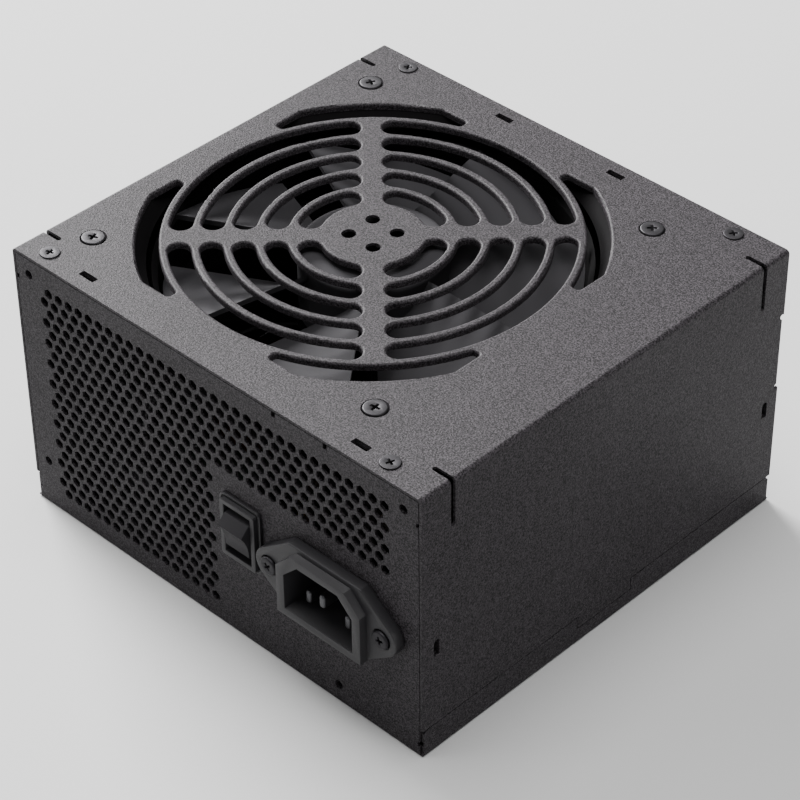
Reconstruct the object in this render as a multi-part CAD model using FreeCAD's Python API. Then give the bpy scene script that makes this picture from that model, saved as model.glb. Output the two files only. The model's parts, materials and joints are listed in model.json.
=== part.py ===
import FreeCAD, Part
import math
import os

# Desktop power supply unit: a folded steel tray and cover, a hung fan, a mains inlet,
# a rocker switch and the converter board inside. Millimetres, +Z up, origin at the
# centre of the bottom face, rear panel (inlet and switch) facing -Y.

os.makedirs("parts", exist_ok=True)

V = FreeCAD.Vector
X_AXIS = V(1, 0, 0)
Y_AXIS = V(0, 1, 0)
Z_AXIS = V(0, 0, 1)
ORIGIN = V(0, 0, 0)

# ---------------------------------------------------------------- driving dimensions
# case
WIDTH = 150.0
DEPTH = 140.0
HEIGHT = 86.0
SHEET = 0.8              # steel sheet thickness
SEAM = 0.25              # gap between tray and cover sheets
BEND = 1.2               # outer bend radius of the cover
TRAY_BEND = 0.8          # outer bend radius of the tray
FLANGE = 8.8             # width of the tray's inner screw flanges
LIP_HEIGHT = 8.95        # side lips of the tray
SIDE_FLANGE_LOW = 5.0    # bottom of the panels' side flanges
SIDE_FLANGE_TOP = 9.3    # their top, below the case top
TAB_WIDTH = 21.0         # cover tab that drops into each side lip
TAB_DROP = 4.1
SLIT_WIDTH = 1.5         # relief slits across the cover's side bends
SLIT_IN = 6.7
SLIT_DOWN = 14.5
SLIT_INSET = (11.0, 10.0)   # from the rear edge and from the front edge
LATCH_WIDTH = 2.0
LATCH_HEIGHT = 5.2
LATCH_INSET = 5.2
LATCH_Z = 35.2
RECESS_Z = (41.0, 64.5)  # step in each side's front edge, from and to
RECESS_DEEP = 0.7
RECESS_END_R = 0.9
KEY_SLOT_HALF = (2.8, 1.0)
NOTCH_DEEP = 1.6         # relief notches beside the flanges
NOTCH_WIDE = 1.4
PANEL_FIT = 0.2          # round the switch and inlet bodies in the rear panel

# grille and fan
FAN_INSET = 64.8         # fan axis from the case's left edge
FAN_Y = 0.2
FAN_SIZE = 120.0
FAN_DEPTH = 25.0
FAN_HOLES = 105.0        # square of the fan's fixing holes
HUB_R = 14.4             # plain disc in the middle of the grille
RING_PITCH = 8.5
SLOT_WIDTH = 6.3
RING_COUNT = 5
SPOKE_WIDTH = 6.0
ROLL_DEPTH = 2.0         # rolled edge of each slot, measured down from the top face
ROLL_R = 0.7
CORNER_SQUARE = 56.5     # half side of the square that cuts the corner slots
CORNER_START = 18.6
CORNER_SLOT_R = 1.1
HUB_HOLES = 9.1
HUB_HOLE_R = 2.0
FAN_SCREW_R = 3.2        # head radius
FAN_SCREW_HEAD = 1.05    # head height
FAN_SCREW_LENGTH = 9.0
FAN_SCREW_CORE = 2.0
SEAT_R = 3.7             # mouth of the fan screw's countersunk seat
SEAT_DEPTH = 0.7
SEAT_WALL = 1.4          # metal left round the seat
SEAT_HOLE_R = 2.3
COVER_SCREW_R = 2.75     # head radius
COVER_SCREW_SPACE = 0.12 # round the head at the sheet's face
COVER_SCREW_PROUD = 0.35
COVER_SCREW_LENGTH = 6.0
ROTOR_R = 20.5
BLADE_R = 56.6
BLADE_COUNT = 7
BLADE_THICK = 1.6
BLADE_HALF_ANGLE = 22.0
# distance from the axis, then how far its leading and trailing edges lie below the frame's top
BLADE_SECTIONS = ((12.0, 3.4, 18.4), (36.0, 3.6, 17.0), (62.0, 4.2, 15.4))
BLADE_SAG = 0.9          # hollow of a blade's face
SHAFT_R = 1.5
RUNNING_GAP = 0.04       # radial clearance of a shaft in its bearing
TIP_GAP = 1.1            # from the blade tips to the duct
DUCT_WALL = 1.6
FRAME_CORNER_R = 4.0
MOUTH_R = 63.4           # the duct's flared mouth, cut off by the frame's straight sides
MOUTH_DEPTH = 8.0
MOUTH_RIM = 0.8          # least wall left between the mouth and a straight side
FRAME_PLATE = 4.0        # thickness of the frame's two square plates
FRAME_POST_R = 4.2
FRAME_HOLE_R = 2.15
BASE_R = 21.0
BASE_THICK = 2.0
STRUT_WIDTH = 4.4
STRUT_THICK = 3.0
TUBE_R = 5.2
TUBE_LENGTH = 19.0
BEARING_R = 4.0
BEARING_LENGTH = 17.0
FIT_GAP = 0.03           # round a part pressed over another
CUP_WALL = 1.4
CUP_DROP = 1.8           # cup top below the frame's top
MAGNET_THICK = 1.6
MAGNET_LENGTH = 14.0
CORE_LENGTH = 5.0
LEAD_HOLE_REACH = 12.5   # from the fan axis
LEAD_HOLE_ANGLE = 225.0
FAN_LEAD_R = 0.8

# rear panel
VENT_PITCH = 4.0
VENT_FLATS = 2.85
VENT_LEFT = 11.6         # from the case's left edge to the first hexagon column
VENT_DROP = 8.7          # top row of hexagons below the case top
VENT_COLUMNS = (32, 16)
VENT_ROWS = (7, 14)
MOUNT_R = 1.385          # tapped number 6-32 case holes
MOUNT_COLLAR = 0.9
MOUNT_LENGTH = 2.0
MOUNT_INSET = 6.0        # case holes from the side, top and bottom edges
MOUNT_LOW = 16.0         # height of the lower left case hole
MOUNT_RIGHT = 30.0       # bottom case hole from the right edge

# rocker switch
SWITCH_INSET = 64.0      # from the case's right edge
SWITCH_Z = 38.0
BEZEL_WIDTH = 15.0
BEZEL_HEIGHT = 21.0
BEZEL_OUT = 2.2
SWITCH_DEPTH = 12.0
ROCKER_WIDTH = 8.8
ROCKER_HALF = 6.2
ROCKER_CREST = 4.15      # crest of the rocker above its pivot, in the middle position
ROCKER_DISH_R = 16.0
ROCKER_TILT = 17.0
ROCKER_PIVOT_OUT = 0.25  # pivot outside the panel face
WINDOW_GAP = 0.5
AXLE_R = 1.1
PLUNGER_R = 0.95
PLUNGER_TIP = 7.6        # from the pivot to the plunger's round tip
WIPE_GAP = 0.2           # from the tip to the fixed contact strip
CONTACT_THICK = 0.5
CONTACT_WIDTH = 5.0
CONTACT_HALF_HEIGHT = 4.6
TERMINAL_DROP = 5.5      # lower terminal under the middle one
TERMINAL_WIDTH = 4.8
TERMINAL_THICK = 0.8
TERMINAL_LENGTH = 8.0

# mains inlet
INLET_INSET = 31.0       # from the case's right edge
INLET_Z = 36.5
INLET_SCREWS = 40.0      # distance between the fixing screws
INLET_TIP_R = 5.2
FLANGE_TOP_HALF = 12.7
FLANGE_HALF_HEIGHT = 12.0
INLET_FLANGE_OUT = 3.3
SHROUD_OUT = 5.8
SHROUD_HALF_WIDTH = 15.0
SHROUD_HALF_HEIGHT = 10.5
SOCKET_HALF_WIDTH = 12.2
SOCKET_HALF_HEIGHT = 8.2
SOCKET_DEPTH = 17.5
PIN_SPACING = 7.0
PIN_THICK = 2.0
PIN_TALL = 4.0

# converter board
BOARD_Z = 7.2
BOARD_THICK = 1.6
BOARD_SIDE_GAP = 7.0     # from the case's sides
BOARD_REAR_GAP = 12.0
BOARD_FRONT_GAP = 8.0
MAINS_LEAD_R = 1.1
FILM_THICK = 0.3
FILM_EDGE = 1.0          # film past the board's edges
LUG_THICK = 0.8
STANDOFF_R = 3.0
SCREW_R = 1.45           # M3 screw core as drawn
SCREW_HOLE_R = 1.55
SINK_HEIGHT = 41.0
SINK_THICK = 3.0
SINK_SPACING = 51.0      # between the two package faces
OUTLET_INSET = 30.0      # from the case's left edge
OUTLET_Z = 44.0
OUTLET_R = 13.0

# ---------------------------------------------------------------- derived places
HALF_W = WIDTH / 2
HALF_D = DEPTH / 2
REAR = -HALF_D
FRONT = HALF_D
FAN_X = FAN_INSET - HALF_W
SWITCH_X = HALF_W - SWITCH_INSET
INLET_X = HALF_W - INLET_INSET
OUTLET_X = OUTLET_INSET - HALF_W
VENT_TOP = HEIGHT - VENT_DROP
MOUNT_PLACES = (
    (MOUNT_INSET - HALF_W, HEIGHT - MOUNT_INSET),
    (HALF_W - MOUNT_INSET, HEIGHT - MOUNT_INSET),
    (MOUNT_INSET - HALF_W, MOUNT_LOW),
    (HALF_W - MOUNT_RIGHT, MOUNT_INSET),
)
INNER_X = HALF_W - SHEET
PANEL_X = INNER_X - SEAM
PANEL_TOP = HEIGHT - SHEET - SEAM
FLANGE_Z = PANEL_TOP - SHEET
ROLL_Z = HEIGHT - ROLL_DEPTH
FAN_TOP = ROLL_Z
FAN_BOTTOM = FAN_TOP - FAN_DEPTH
BASE_Z = FAN_BOTTOM + BASE_THICK
CUP_TOP = FAN_TOP - CUP_DROP
CUP_BOTTOM = BASE_Z + 1.3
DUCT_R = BLADE_R + TIP_GAP
PANEL_IN = REAR + SHEET
BOARD_TOP = BOARD_Z + BOARD_THICK
COVER_SCREWS = (
    (14.5 - HALF_W, FRONT - 4.3),
    (HALF_W - 15.5, FRONT - 4.3),
    (9.3 - HALF_W, REAR + 5.2),
    (HALF_W - 15.3, REAR + 5.2),
)
KEY_SLOTS = (
    (24.6 - HALF_W, REAR + 5.2),
    (HALF_W - 25.2, REAR + 5.2),
    (52.4 - HALF_W, FRONT - 4.7),
    (HALF_W - 56.5, FRONT - 4.7),
)
FLANGE_BREAK = (HALF_W - 50.7, HALF_W - 32.6)   # gap in the rear panel's top flange
BOARD_HALF_X = HALF_W - BOARD_SIDE_GAP
BOARD_BACK = REAR + BOARD_REAR_GAP
BOARD_FRONT = FRONT - BOARD_FRONT_GAP
PRIMARY_FACE = HALF_W - 46.0
SECONDARY_FACE = PRIMARY_FACE - SINK_SPACING
TRANSFORMER_X = PRIMARY_FACE - 24.0
BULK_X = HALF_W - 25.0
CHOKE_X = HALF_W - 23.0
OUTPUT_X = 28.0 - HALF_W
STANDOFFS = [(x, y) for x in (6.0 - BOARD_HALF_X, SECONDARY_FACE + 12.0, BOARD_HALF_X - 6.0)
             for y in (BOARD_BACK + 6.0, BOARD_FRONT - 6.0)]
LUG_POST = STANDOFFS[4]
PRIMARY_PLACES = (-16.0, 0.0, 16.0, 40.0)
SECONDARY_PLACES = (-12.0, 8.0, 28.0)


# ---------------------------------------------------------------- helpers
def box(x0, x1, y0, y1, z0, z1):
    """Box between two corners."""
    return Part.makeBox(x1 - x0, y1 - y0, z1 - z0, V(x0, y0, z0))


def block(x, y, z, sx, sy, sz):
    """Box centred on x and y, standing on z."""
    return Part.makeBox(sx, sy, sz, V(x - sx / 2, y - sy / 2, z))


def post(x, y, z, radius, length):
    """Upright cylinder."""
    return Part.makeCylinder(radius, length, V(x, y, z), Z_AXIS)


def ring(x, y, z, outer, inner, length):
    """Upright tube."""
    return post(x, y, z, outer, length).cut(post(x, y, z - 1, inner, length + 2))


def along_y(x, y, z, radius, length):
    """Cylinder that runs towards +Y."""
    return Part.makeCylinder(radius, length, V(x, y, z), Y_AXIS)


def polygon(points):
    """Closed wire of straight edges."""
    return Part.makePolygon(points + [points[0]])


def plate_y(wires, y, thickness):
    """Flat plate from wires drawn in the XZ plane, its outer face at y."""
    face = Part.makeFace(wires, "Part::FaceMakerBullseye")
    face.translate(V(0, y, 0))
    return face.extrude(V(0, thickness, 0))


def fuse_all(shapes):
    """One solid from touching shapes."""
    return shapes[0].fuse(shapes[1:]).removeSplitter()


def one_solid(shape):
    """The only solid of a shape."""
    if len(shape.Solids) != 1:
        raise ValueError("expected one solid, got %d" % len(shape.Solids))
    return shape.Solids[0]


def round_where(shape, radius, keep):
    """Fillet the edges whose middle point passes a test."""
    edges = [e for e in shape.Edges if keep(e.BoundBox)]
    return shape.makeFillet(radius, edges)


def bevel_where(shape, size, keep):
    """Chamfer the edges whose middle point passes a test."""
    edges = [e for e in shape.Edges if keep(e.BoundBox)]
    return shape.makeChamfer(size, edges)


def flat(size):
    """True where a bounding length is zero."""
    return size < 1e-4


def save(name, *solids):
    """Write one node; a group of loose pieces becomes a compound."""
    pieces = [one_solid(s) for s in solids]
    shape = pieces[0] if len(pieces) == 1 else Part.makeCompound(pieces)
    if not shape.isValid():
        raise ValueError("node %s is not valid" % name)
    shape.exportStep("parts/%s.step" % name)


def turned(shape, degrees, x=0.0, y=0.0, axis=Z_AXIS, z=0.0):
    """Copy of a shape turned about an axis through a point."""
    copy = shape.copy()
    copy.rotate(V(x, y, z), axis, degrees)
    return copy


def phillips(x, y, top, size, depth):
    """Cross-shaped recess cutter, with its mouth at top."""
    arm = size * 0.2
    bars = [
        block(x, y, top - depth, size, arm * 1.1, depth + 1),
        block(x, y, top - depth, arm * 1.1, size, depth + 1),
    ]
    cross = turned(fuse_all(bars), 45.0, x, y)
    cone = Part.makeCone(arm * 0.6, size / 2, depth + 0.01, V(x, y, top - depth), Z_AXIS)
    cone = cone.fuse(post(x, y, top, size / 2, 1.0))
    return cross.common(cone)


def screw_down(x, y, head_z, head_r, head_height, shank_r, length):
    """Pan head screw pointing down, its head standing on head_z."""
    head = post(x, y, head_z, head_r, head_height)
    crown = head_height * 0.45
    head = round_where(head, crown, lambda b: b.ZMin > head_z + head_height - 0.01)
    shank = post(x, y, head_z - length, shank_r, length + head_height / 4)
    shank = shank.cut(post(x, y, head_z - length - 1, shank_r * 0.5, 1.0))
    screw = fuse_all([head, shank])
    return screw.cut(phillips(x, y, head_z + head_height, head_r * 1.15, head_height * 0.7))


def lead(points, radius):
    """Round wire along straight runs joined by tangent arcs."""
    edges = []
    start = points[0]
    for before, corner, after in zip(points, points[1:], points[2:]):
        back = before.sub(corner)
        ahead = after.sub(corner)
        half_turn = (math.pi - back.getAngle(ahead)) / 2
        reach = 0.45 * min(back.Length, ahead.Length)
        enter = corner + back.normalize() * reach
        leave = corner + ahead.normalize() * reach
        bend_r = reach / math.tan(half_turn)
        inward = (back + ahead).normalize()
        centre_gap = math.hypot(bend_r, reach) - bend_r
        middle = corner + inward * centre_gap
        edges.append(Part.LineSegment(start, enter).toShape())
        edges.append(Part.Arc(enter, middle, leave).toShape())
        start = leave
    edges.append(Part.LineSegment(start, points[-1]).toShape())
    path = Part.Wire(edges)
    direction = points[1].sub(points[0])
    circle = Part.Wire(Part.makeCircle(radius, points[0], direction))
    return Part.Solid(path.makePipeShell([circle], True, False))


# ---------------------------------------------------------------- base tray
def hexagon(x, z):
    """Vent hole with its corners up and down."""
    corner = VENT_FLATS / math.sqrt(3)
    points = []
    for k in range(6):
        angle = math.radians(60 * k + 30)
        points.append(V(x + corner * math.cos(angle), 0, z + corner * math.sin(angle)))
    return polygon(points)


def vent_wires():
    """Honeycomb of the rear panel: a wide block above a narrow one."""
    wires = []
    row = 0
    for columns, rows in zip(VENT_COLUMNS, VENT_ROWS):
        for _ in range(rows):
            shift = VENT_PITCH / 2 if row % 2 == 0 else 0.0
            z = VENT_TOP - row * VENT_PITCH * math.sqrt(3) / 2
            for column in range(columns):
                wires.append(hexagon(-HALF_W + VENT_LEFT + shift + column * VENT_PITCH, z))
            row += 1
    return wires


def rectangle_xz(x0, x1, z0, z1):
    """Rectangle in the XZ plane."""
    return polygon([V(x0, 0, z0), V(x1, 0, z0), V(x1, 0, z1), V(x0, 0, z1)])


def circle_xz(x, z, radius):
    """Circle in the XZ plane."""
    return Part.Wire(Part.makeCircle(radius, V(x, 0, z), Y_AXIS))


def switch_body_half():
    """Half width and half height of the switch body behind the panel."""
    return BEZEL_WIDTH / 2 - 1.1, BEZEL_HEIGHT / 2 - 1.1


def inlet_body_half():
    """Half width and half height of the inlet body behind the panel."""
    return SOCKET_HALF_WIDTH + 1.5, SOCKET_HALF_HEIGHT + 1.5


def rear_panel():
    """Rear wall with vents, switch and inlet openings and tapped collars."""
    fit = PANEL_FIT
    sw, sh = switch_body_half()
    iw, ih = inlet_body_half()
    outline = rectangle_xz(-PANEL_X, PANEL_X, 0, PANEL_TOP)
    wires = [outline] + vent_wires()
    wires.append(rectangle_xz(SWITCH_X - sw - fit, SWITCH_X + sw + fit,
                              SWITCH_Z - sh - fit, SWITCH_Z + sh + fit))
    wires.append(rectangle_xz(INLET_X - iw - fit, INLET_X + iw + fit,
                              INLET_Z - ih - fit, INLET_Z + ih + fit))
    for side in (-1, 1):
        wires.append(circle_xz(INLET_X + side * INLET_SCREWS / 2, INLET_Z, SCREW_HOLE_R))
    wires += [circle_xz(x, z, MOUNT_R) for x, z in MOUNT_PLACES]
    panel = plate_y(wires, REAR, SHEET)
    collars = []
    for x, z in MOUNT_PLACES:
        outer = along_y(x, PANEL_IN - 0.4, z, MOUNT_R + MOUNT_COLLAR, MOUNT_LENGTH - SHEET + 0.4)
        collars.append(outer.cut(along_y(x, PANEL_IN - 2, z, MOUNT_R, MOUNT_LENGTH + 4)))
    return panel.fuse(collars)


def panel_notches():
    """Relief notches where the rear panel's flanges begin and end."""
    deep = NOTCH_DEEP
    wide = NOTCH_WIDE
    cuts = []
    for x in FLANGE_BREAK:
        cuts.append(box(x - wide / 2, x + wide / 2, REAR - 1, PANEL_IN + 1,
                        PANEL_TOP - deep, PANEL_TOP + 1))
    for side in (-1, 1):
        for z in (HEIGHT - SIDE_FLANGE_TOP + 0.8, SIDE_FLANGE_LOW - 0.8):
            cuts.append(block(side * PANEL_X, REAR + SHEET / 2, z - wide / 2, 1.6, SHEET + 2, wide))
    return cuts


def top_flange(x0, x1, wall_in, direction):
    """Strip folded inwards along a panel's top edge."""
    y0, y1 = sorted((wall_in, wall_in + direction * FLANGE))
    strip = box(x0, x1, y0, y1, FLANGE_Z, PANEL_TOP)
    edge = wall_in + direction * FLANGE
    return round_where(strip, 1.5, lambda b: flat(b.XLength) and flat(b.YLength)
                       and abs(b.YMin - edge) < 0.01)


def side_flange(side, wall_in, direction):
    """Strip folded inwards along a panel's side edge."""
    x0, x1 = sorted((side * PANEL_X, side * (PANEL_X - SHEET)))
    y0, y1 = sorted((wall_in, wall_in + direction * FLANGE))
    return box(x0, x1, y0, y1, SIDE_FLANGE_LOW, HEIGHT - SIDE_FLANGE_TOP)


def side_lip(side):
    """Low wall along one side, notched for the cover's tab."""
    x0, x1 = sorted((side * INNER_X, side * HALF_W))
    lip = box(x0, x1, REAR + 0.6, FRONT - 0.6, 0, LIP_HEIGHT)
    lip = bevel_where(lip, 1.0, lambda b: flat(b.YLength) and flat(b.ZLength)
                      and b.ZMin > LIP_HEIGHT - 0.01)
    half = TAB_WIDTH / 2 + SEAM
    return lip.cut(box(x0 - 1, x1 + 1, -half, half, LIP_HEIGHT - TAB_DROP, LIP_HEIGHT + 1))


def latch_hole(side, y):
    """D-shaped punched hole through a side wall."""
    x = side * (HALF_W - 4)
    body = block(x, y, LATCH_Z - LATCH_HEIGHT / 2, 12, LATCH_WIDTH, LATCH_HEIGHT - LATCH_WIDTH / 2)
    cap_z = LATCH_Z + LATCH_HEIGHT / 2 - LATCH_WIDTH / 2
    cap = Part.makeCylinder(LATCH_WIDTH / 2, 12, V(x - 6, y, cap_z), X_AXIS)
    return body.fuse(cap)


def latch_holes():
    """The four side latch holes."""
    places = (REAR + LATCH_INSET, FRONT - LATCH_INSET)
    return [latch_hole(side, y) for side in (-1, 1) for y in places]


def key_slot_cutters(z0, z1):
    """Small rectangular slots in the top."""
    half_x, half_y = KEY_SLOT_HALF
    return [box(x - half_x, x + half_x, y - half_y, y + half_y, z0, z1) for x, y in KEY_SLOTS]


def base_tray():
    """Bottom, rear and front panels, side lips and inner flanges in one folded sheet."""
    floor = box(-HALF_W, HALF_W, REAR, FRONT, 0, SHEET)
    front = plate_y([rectangle_xz(-PANEL_X, PANEL_X, 0, PANEL_TOP),
                     circle_xz(OUTLET_X, OUTLET_Z, OUTLET_R)], FRONT - SHEET, SHEET)
    front_in = FRONT - SHEET
    pieces = [floor, rear_panel(), front, side_lip(-1), side_lip(1)]
    end = HALF_W - 3.0
    pieces.append(top_flange(-end, FLANGE_BREAK[0] - 0.7, PANEL_IN, 1))
    pieces.append(top_flange(FLANGE_BREAK[1] + 0.7, end, PANEL_IN, 1))
    pieces.append(top_flange(-end, end, front_in, -1))
    for side in (-1, 1):
        pieces.append(side_flange(side, PANEL_IN, 1))
        pieces.append(side_flange(side, front_in, -1))
    tray = fuse_all(pieces)
    cuts = panel_notches() + latch_holes() + key_slot_cutters(FLANGE_Z - 1, HEIGHT)
    cuts += [post(x, y, FLANGE_Z - 1, SCREW_HOLE_R, 4) for x, y in COVER_SCREWS]
    tray = tray.cut(cuts)
    bottom = lambda b: flat(b.ZLength) and b.ZMax < 0.01 and max(b.XLength, b.YLength) > 100
    return round_where(tray, TRAY_BEND * 0.9, bottom)


# ---------------------------------------------------------------- cover shell
def ring_slot(index, quadrant):
    """Closed outline of one curved slot between two spokes."""
    inner = HUB_R + index * RING_PITCH
    outer = inner + SLOT_WIDTH
    mid = (inner + outer) / 2
    cap = SLOT_WIDTH / 2
    half = math.pi / 4 - math.asin((SPOKE_WIDTH / 2 + cap) / mid)
    turn = quadrant * math.pi / 2

    def at(radius, angle):
        return V(FAN_X + radius * math.cos(turn + angle), FAN_Y + radius * math.sin(turn + angle), 0)

    def cap_tip(sign):
        centre = at(mid, sign * half)
        along = turn + sign * (half + math.pi / 2)
        return centre + V(math.cos(along), math.sin(along), 0) * cap

    edges = [
        Part.Arc(at(outer, -half), at(outer, 0), at(outer, half)),
        Part.Arc(at(outer, half), cap_tip(1), at(inner, half)),
        Part.Arc(at(inner, half), at(inner, 0), at(inner, -half)),
        Part.Arc(at(inner, -half), cap_tip(-1), at(outer, -half)),
    ]
    return Part.Wire([e.toShape() for e in edges])


def corner_slot(quadrant):
    """Closed outline of one crescent slot outside the rings."""
    inner = HUB_R + RING_COUNT * RING_PITCH
    crescent = ring(FAN_X, FAN_Y, 0, inner + SLOT_WIDTH, inner, 1.0)
    corner = box(FAN_X + CORNER_START, FAN_X + CORNER_SQUARE,
                 FAN_Y + CORNER_START, FAN_Y + CORNER_SQUARE, -1, 2)
    piece = one_solid(crescent.common(corner))
    piece = round_where(piece, CORNER_SLOT_R, lambda b: flat(b.XLength) and flat(b.YLength))
    floor = [f for f in piece.Faces if flat(f.BoundBox.ZLength) and f.BoundBox.ZMax < 0.01][0]
    return turned(floor.OuterWire, 90 * quadrant, FAN_X, FAN_Y)


def grille_slots():
    """All slot outlines of the grille, at height zero."""
    wires = [ring_slot(i, q) for i in range(RING_COUNT) for q in range(4)]
    return wires + [corner_slot(q) for q in range(4)]


def rolled_edge(wire):
    """Downturned edge of one slot."""
    outer = wire.makeOffset2D(SHEET)
    face = Part.makeFace([outer, wire], "Part::FaceMakerBullseye")
    face.translate(V(0, 0, ROLL_Z))
    return face.extrude(V(0, 0, ROLL_DEPTH - SHEET / 2))


def fan_places():
    """Centres of the four fan screws."""
    half = FAN_HOLES / 2
    return [(FAN_X + sx * half, FAN_Y + sy * half) for sx in (-1, 1) for sy in (-1, 1)]


def cover_blank():
    """Plain folded cover, before its holes."""
    side_bottom = LIP_HEIGHT + SEAM
    outer = box(-HALF_W, HALF_W, REAR, FRONT, side_bottom, HEIGHT)
    outer = round_where(outer, BEND, lambda b: b.ZMin > HEIGHT - 0.01 and flat(b.XLength))
    inner = box(-INNER_X, INNER_X, REAR - 1, FRONT + 1, side_bottom - 1, HEIGHT - SHEET)
    inner = round_where(inner, BEND - SHEET, lambda b: b.ZMin > HEIGHT - SHEET - 0.01
                        and flat(b.XLength))
    shell = outer.cut(inner)
    tabs = []
    for side in (-1, 1):
        x0, x1 = sorted((side * INNER_X, side * HALF_W))
        tabs.append(box(x0, x1, -TAB_WIDTH / 2, TAB_WIDTH / 2,
                        side_bottom - TAB_DROP, side_bottom))
    return fuse_all([shell] + tabs)


def relief_slit(side, y):
    """Slit that crosses a side bend of the cover."""
    half = SLIT_WIDTH / 2
    inner_end = HALF_W - SLIT_IN + half
    low_end = HEIGHT - SLIT_DOWN + half
    x0, x1 = sorted((side * (INNER_X - 0.6), side * (HALF_W + 1)))
    cuts = [
        block(side * (inner_end + 10), y, HEIGHT - 2, 20, SLIT_WIDTH, 4),
        post(side * inner_end, y, HEIGHT - 2, half, 4),
        box(x0, x1, y - half, y + half, low_end, HEIGHT + 2),
        Part.makeCylinder(half, 3, V(side * HALF_W - 1.5, y, low_end), X_AXIS),
    ]
    return cuts[0].fuse(cuts[1:])


def edge_recess(side):
    """Shallow step with two round reliefs in a side's front edge."""
    x0 = side * HALF_W - 2
    low, high = RECESS_Z
    step = box(x0, x0 + 4, FRONT - RECESS_DEEP, FRONT + 1, low, high)
    ends = [Part.makeCylinder(RECESS_END_R, 4, V(x0, FRONT - RECESS_DEEP, z), X_AXIS)
            for z in RECESS_Z]
    return step.fuse(ends)


def dimple(x, y):
    """Pressed-down seat of one fan screw."""
    return post(x, y, ROLL_Z, SEAT_R + SEAT_WALL, ROLL_DEPTH - SHEET / 2)


def dimple_cut(x, y):
    """Cone and hole of a fan screw's seat."""
    cone = Part.makeCone(FAN_SCREW_R + 0.15, SEAT_R, SEAT_DEPTH, V(x, y, HEIGHT - SEAT_DEPTH), Z_AXIS)
    return cone.fuse([post(x, y, HEIGHT - 0.01, SEAT_R, 1), post(x, y, ROLL_Z - 1, SEAT_HOLE_R, 3)])


def cover_screw_cut(x, y):
    """Countersink and hole of a cover screw."""
    mouth = COVER_SCREW_R + COVER_SCREW_SPACE
    cone = Part.makeCone(SCREW_HOLE_R, mouth, SHEET, V(x, y, HEIGHT - SHEET), Z_AXIS)
    return cone.fuse([post(x, y, HEIGHT - 0.01, mouth, 1),
                      post(x, y, HEIGHT - SHEET - 1, SCREW_HOLE_R, 2)])


def cover_shell():
    """Folded cover with the ring grille, slits, slots and screw seats."""
    slots = grille_slots()
    places = fan_places()
    pieces = [cover_blank()] + [rolled_edge(w) for w in slots] + [dimple(x, y) for x, y in places]
    shell = fuse_all(pieces)
    cuts = []
    for wire in slots:
        face = Part.Face(wire)
        face.translate(V(0, 0, ROLL_Z - 1))
        cuts.append(face.extrude(V(0, 0, ROLL_DEPTH + 2)))
    half = HUB_HOLES / 2
    for sx in (-half, half):
        for sy in (-half, half):
            cuts.append(post(FAN_X + sx, FAN_Y + sy, HEIGHT - 3, HUB_HOLE_R, 5))
    shell = shell.cut(cuts)
    limit = HUB_R + (RING_COUNT + 1) * RING_PITCH + 1

    def top_slot_edge(b):
        reach = math.hypot(b.Center.x - FAN_X, b.Center.y - FAN_Y)
        return b.ZMin > HEIGHT - 0.01 and HUB_HOLES < reach < limit and b.DiagonalLength < 85

    shell = round_where(shell, min(ROLL_R, (RING_PITCH - SLOT_WIDTH) * 0.4), top_slot_edge)
    cuts = [dimple_cut(x, y) for x, y in places]
    cuts += [cover_screw_cut(x, y) for x, y in COVER_SCREWS]
    cuts += key_slot_cutters(HEIGHT - 2, HEIGHT + 1)
    for side in (-1, 1):
        cuts.append(relief_slit(side, REAR + SLIT_INSET[0]))
        cuts.append(relief_slit(side, FRONT - SLIT_INSET[1]))
        cuts.append(edge_recess(side))
    return shell.cut(cuts + latch_holes())


def cover_fasteners():
    """Countersunk cover screws."""
    screws = []
    top = HEIGHT + COVER_SCREW_PROUD
    for x, y in COVER_SCREWS:
        head = Part.makeCone(SCREW_R, COVER_SCREW_R, SHEET - 0.05, V(x, y, HEIGHT - SHEET + 0.05), Z_AXIS)
        crown = post(x, y, HEIGHT, COVER_SCREW_R, COVER_SCREW_PROUD)
        crown = round_where(crown, 0.25, lambda b: b.ZMin > top - 0.01)
        shank = post(x, y, HEIGHT - COVER_SCREW_LENGTH, SCREW_R, COVER_SCREW_LENGTH)
        screw = fuse_all([head, crown, shank])
        screws.append(screw.cut(phillips(x, y, top, COVER_SCREW_R * 1.15, 1.0)))
    return screws


def fan_fasteners():
    """Pan head screws that hang the fan from the cover."""
    return [screw_down(x, y, HEIGHT - SEAT_DEPTH, FAN_SCREW_R, FAN_SCREW_HEAD, FAN_SCREW_CORE,
                       FAN_SCREW_LENGTH) for x, y in fan_places()]


# ---------------------------------------------------------------- fan
def fan_lead_place(z, reach=LEAD_HOLE_REACH):
    """Point on the lead's radius, at a height and a distance from the fan axis."""
    angle = math.radians(LEAD_HOLE_ANGLE)
    return V(FAN_X + reach * math.cos(angle), FAN_Y + reach * math.sin(angle), z)


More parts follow.
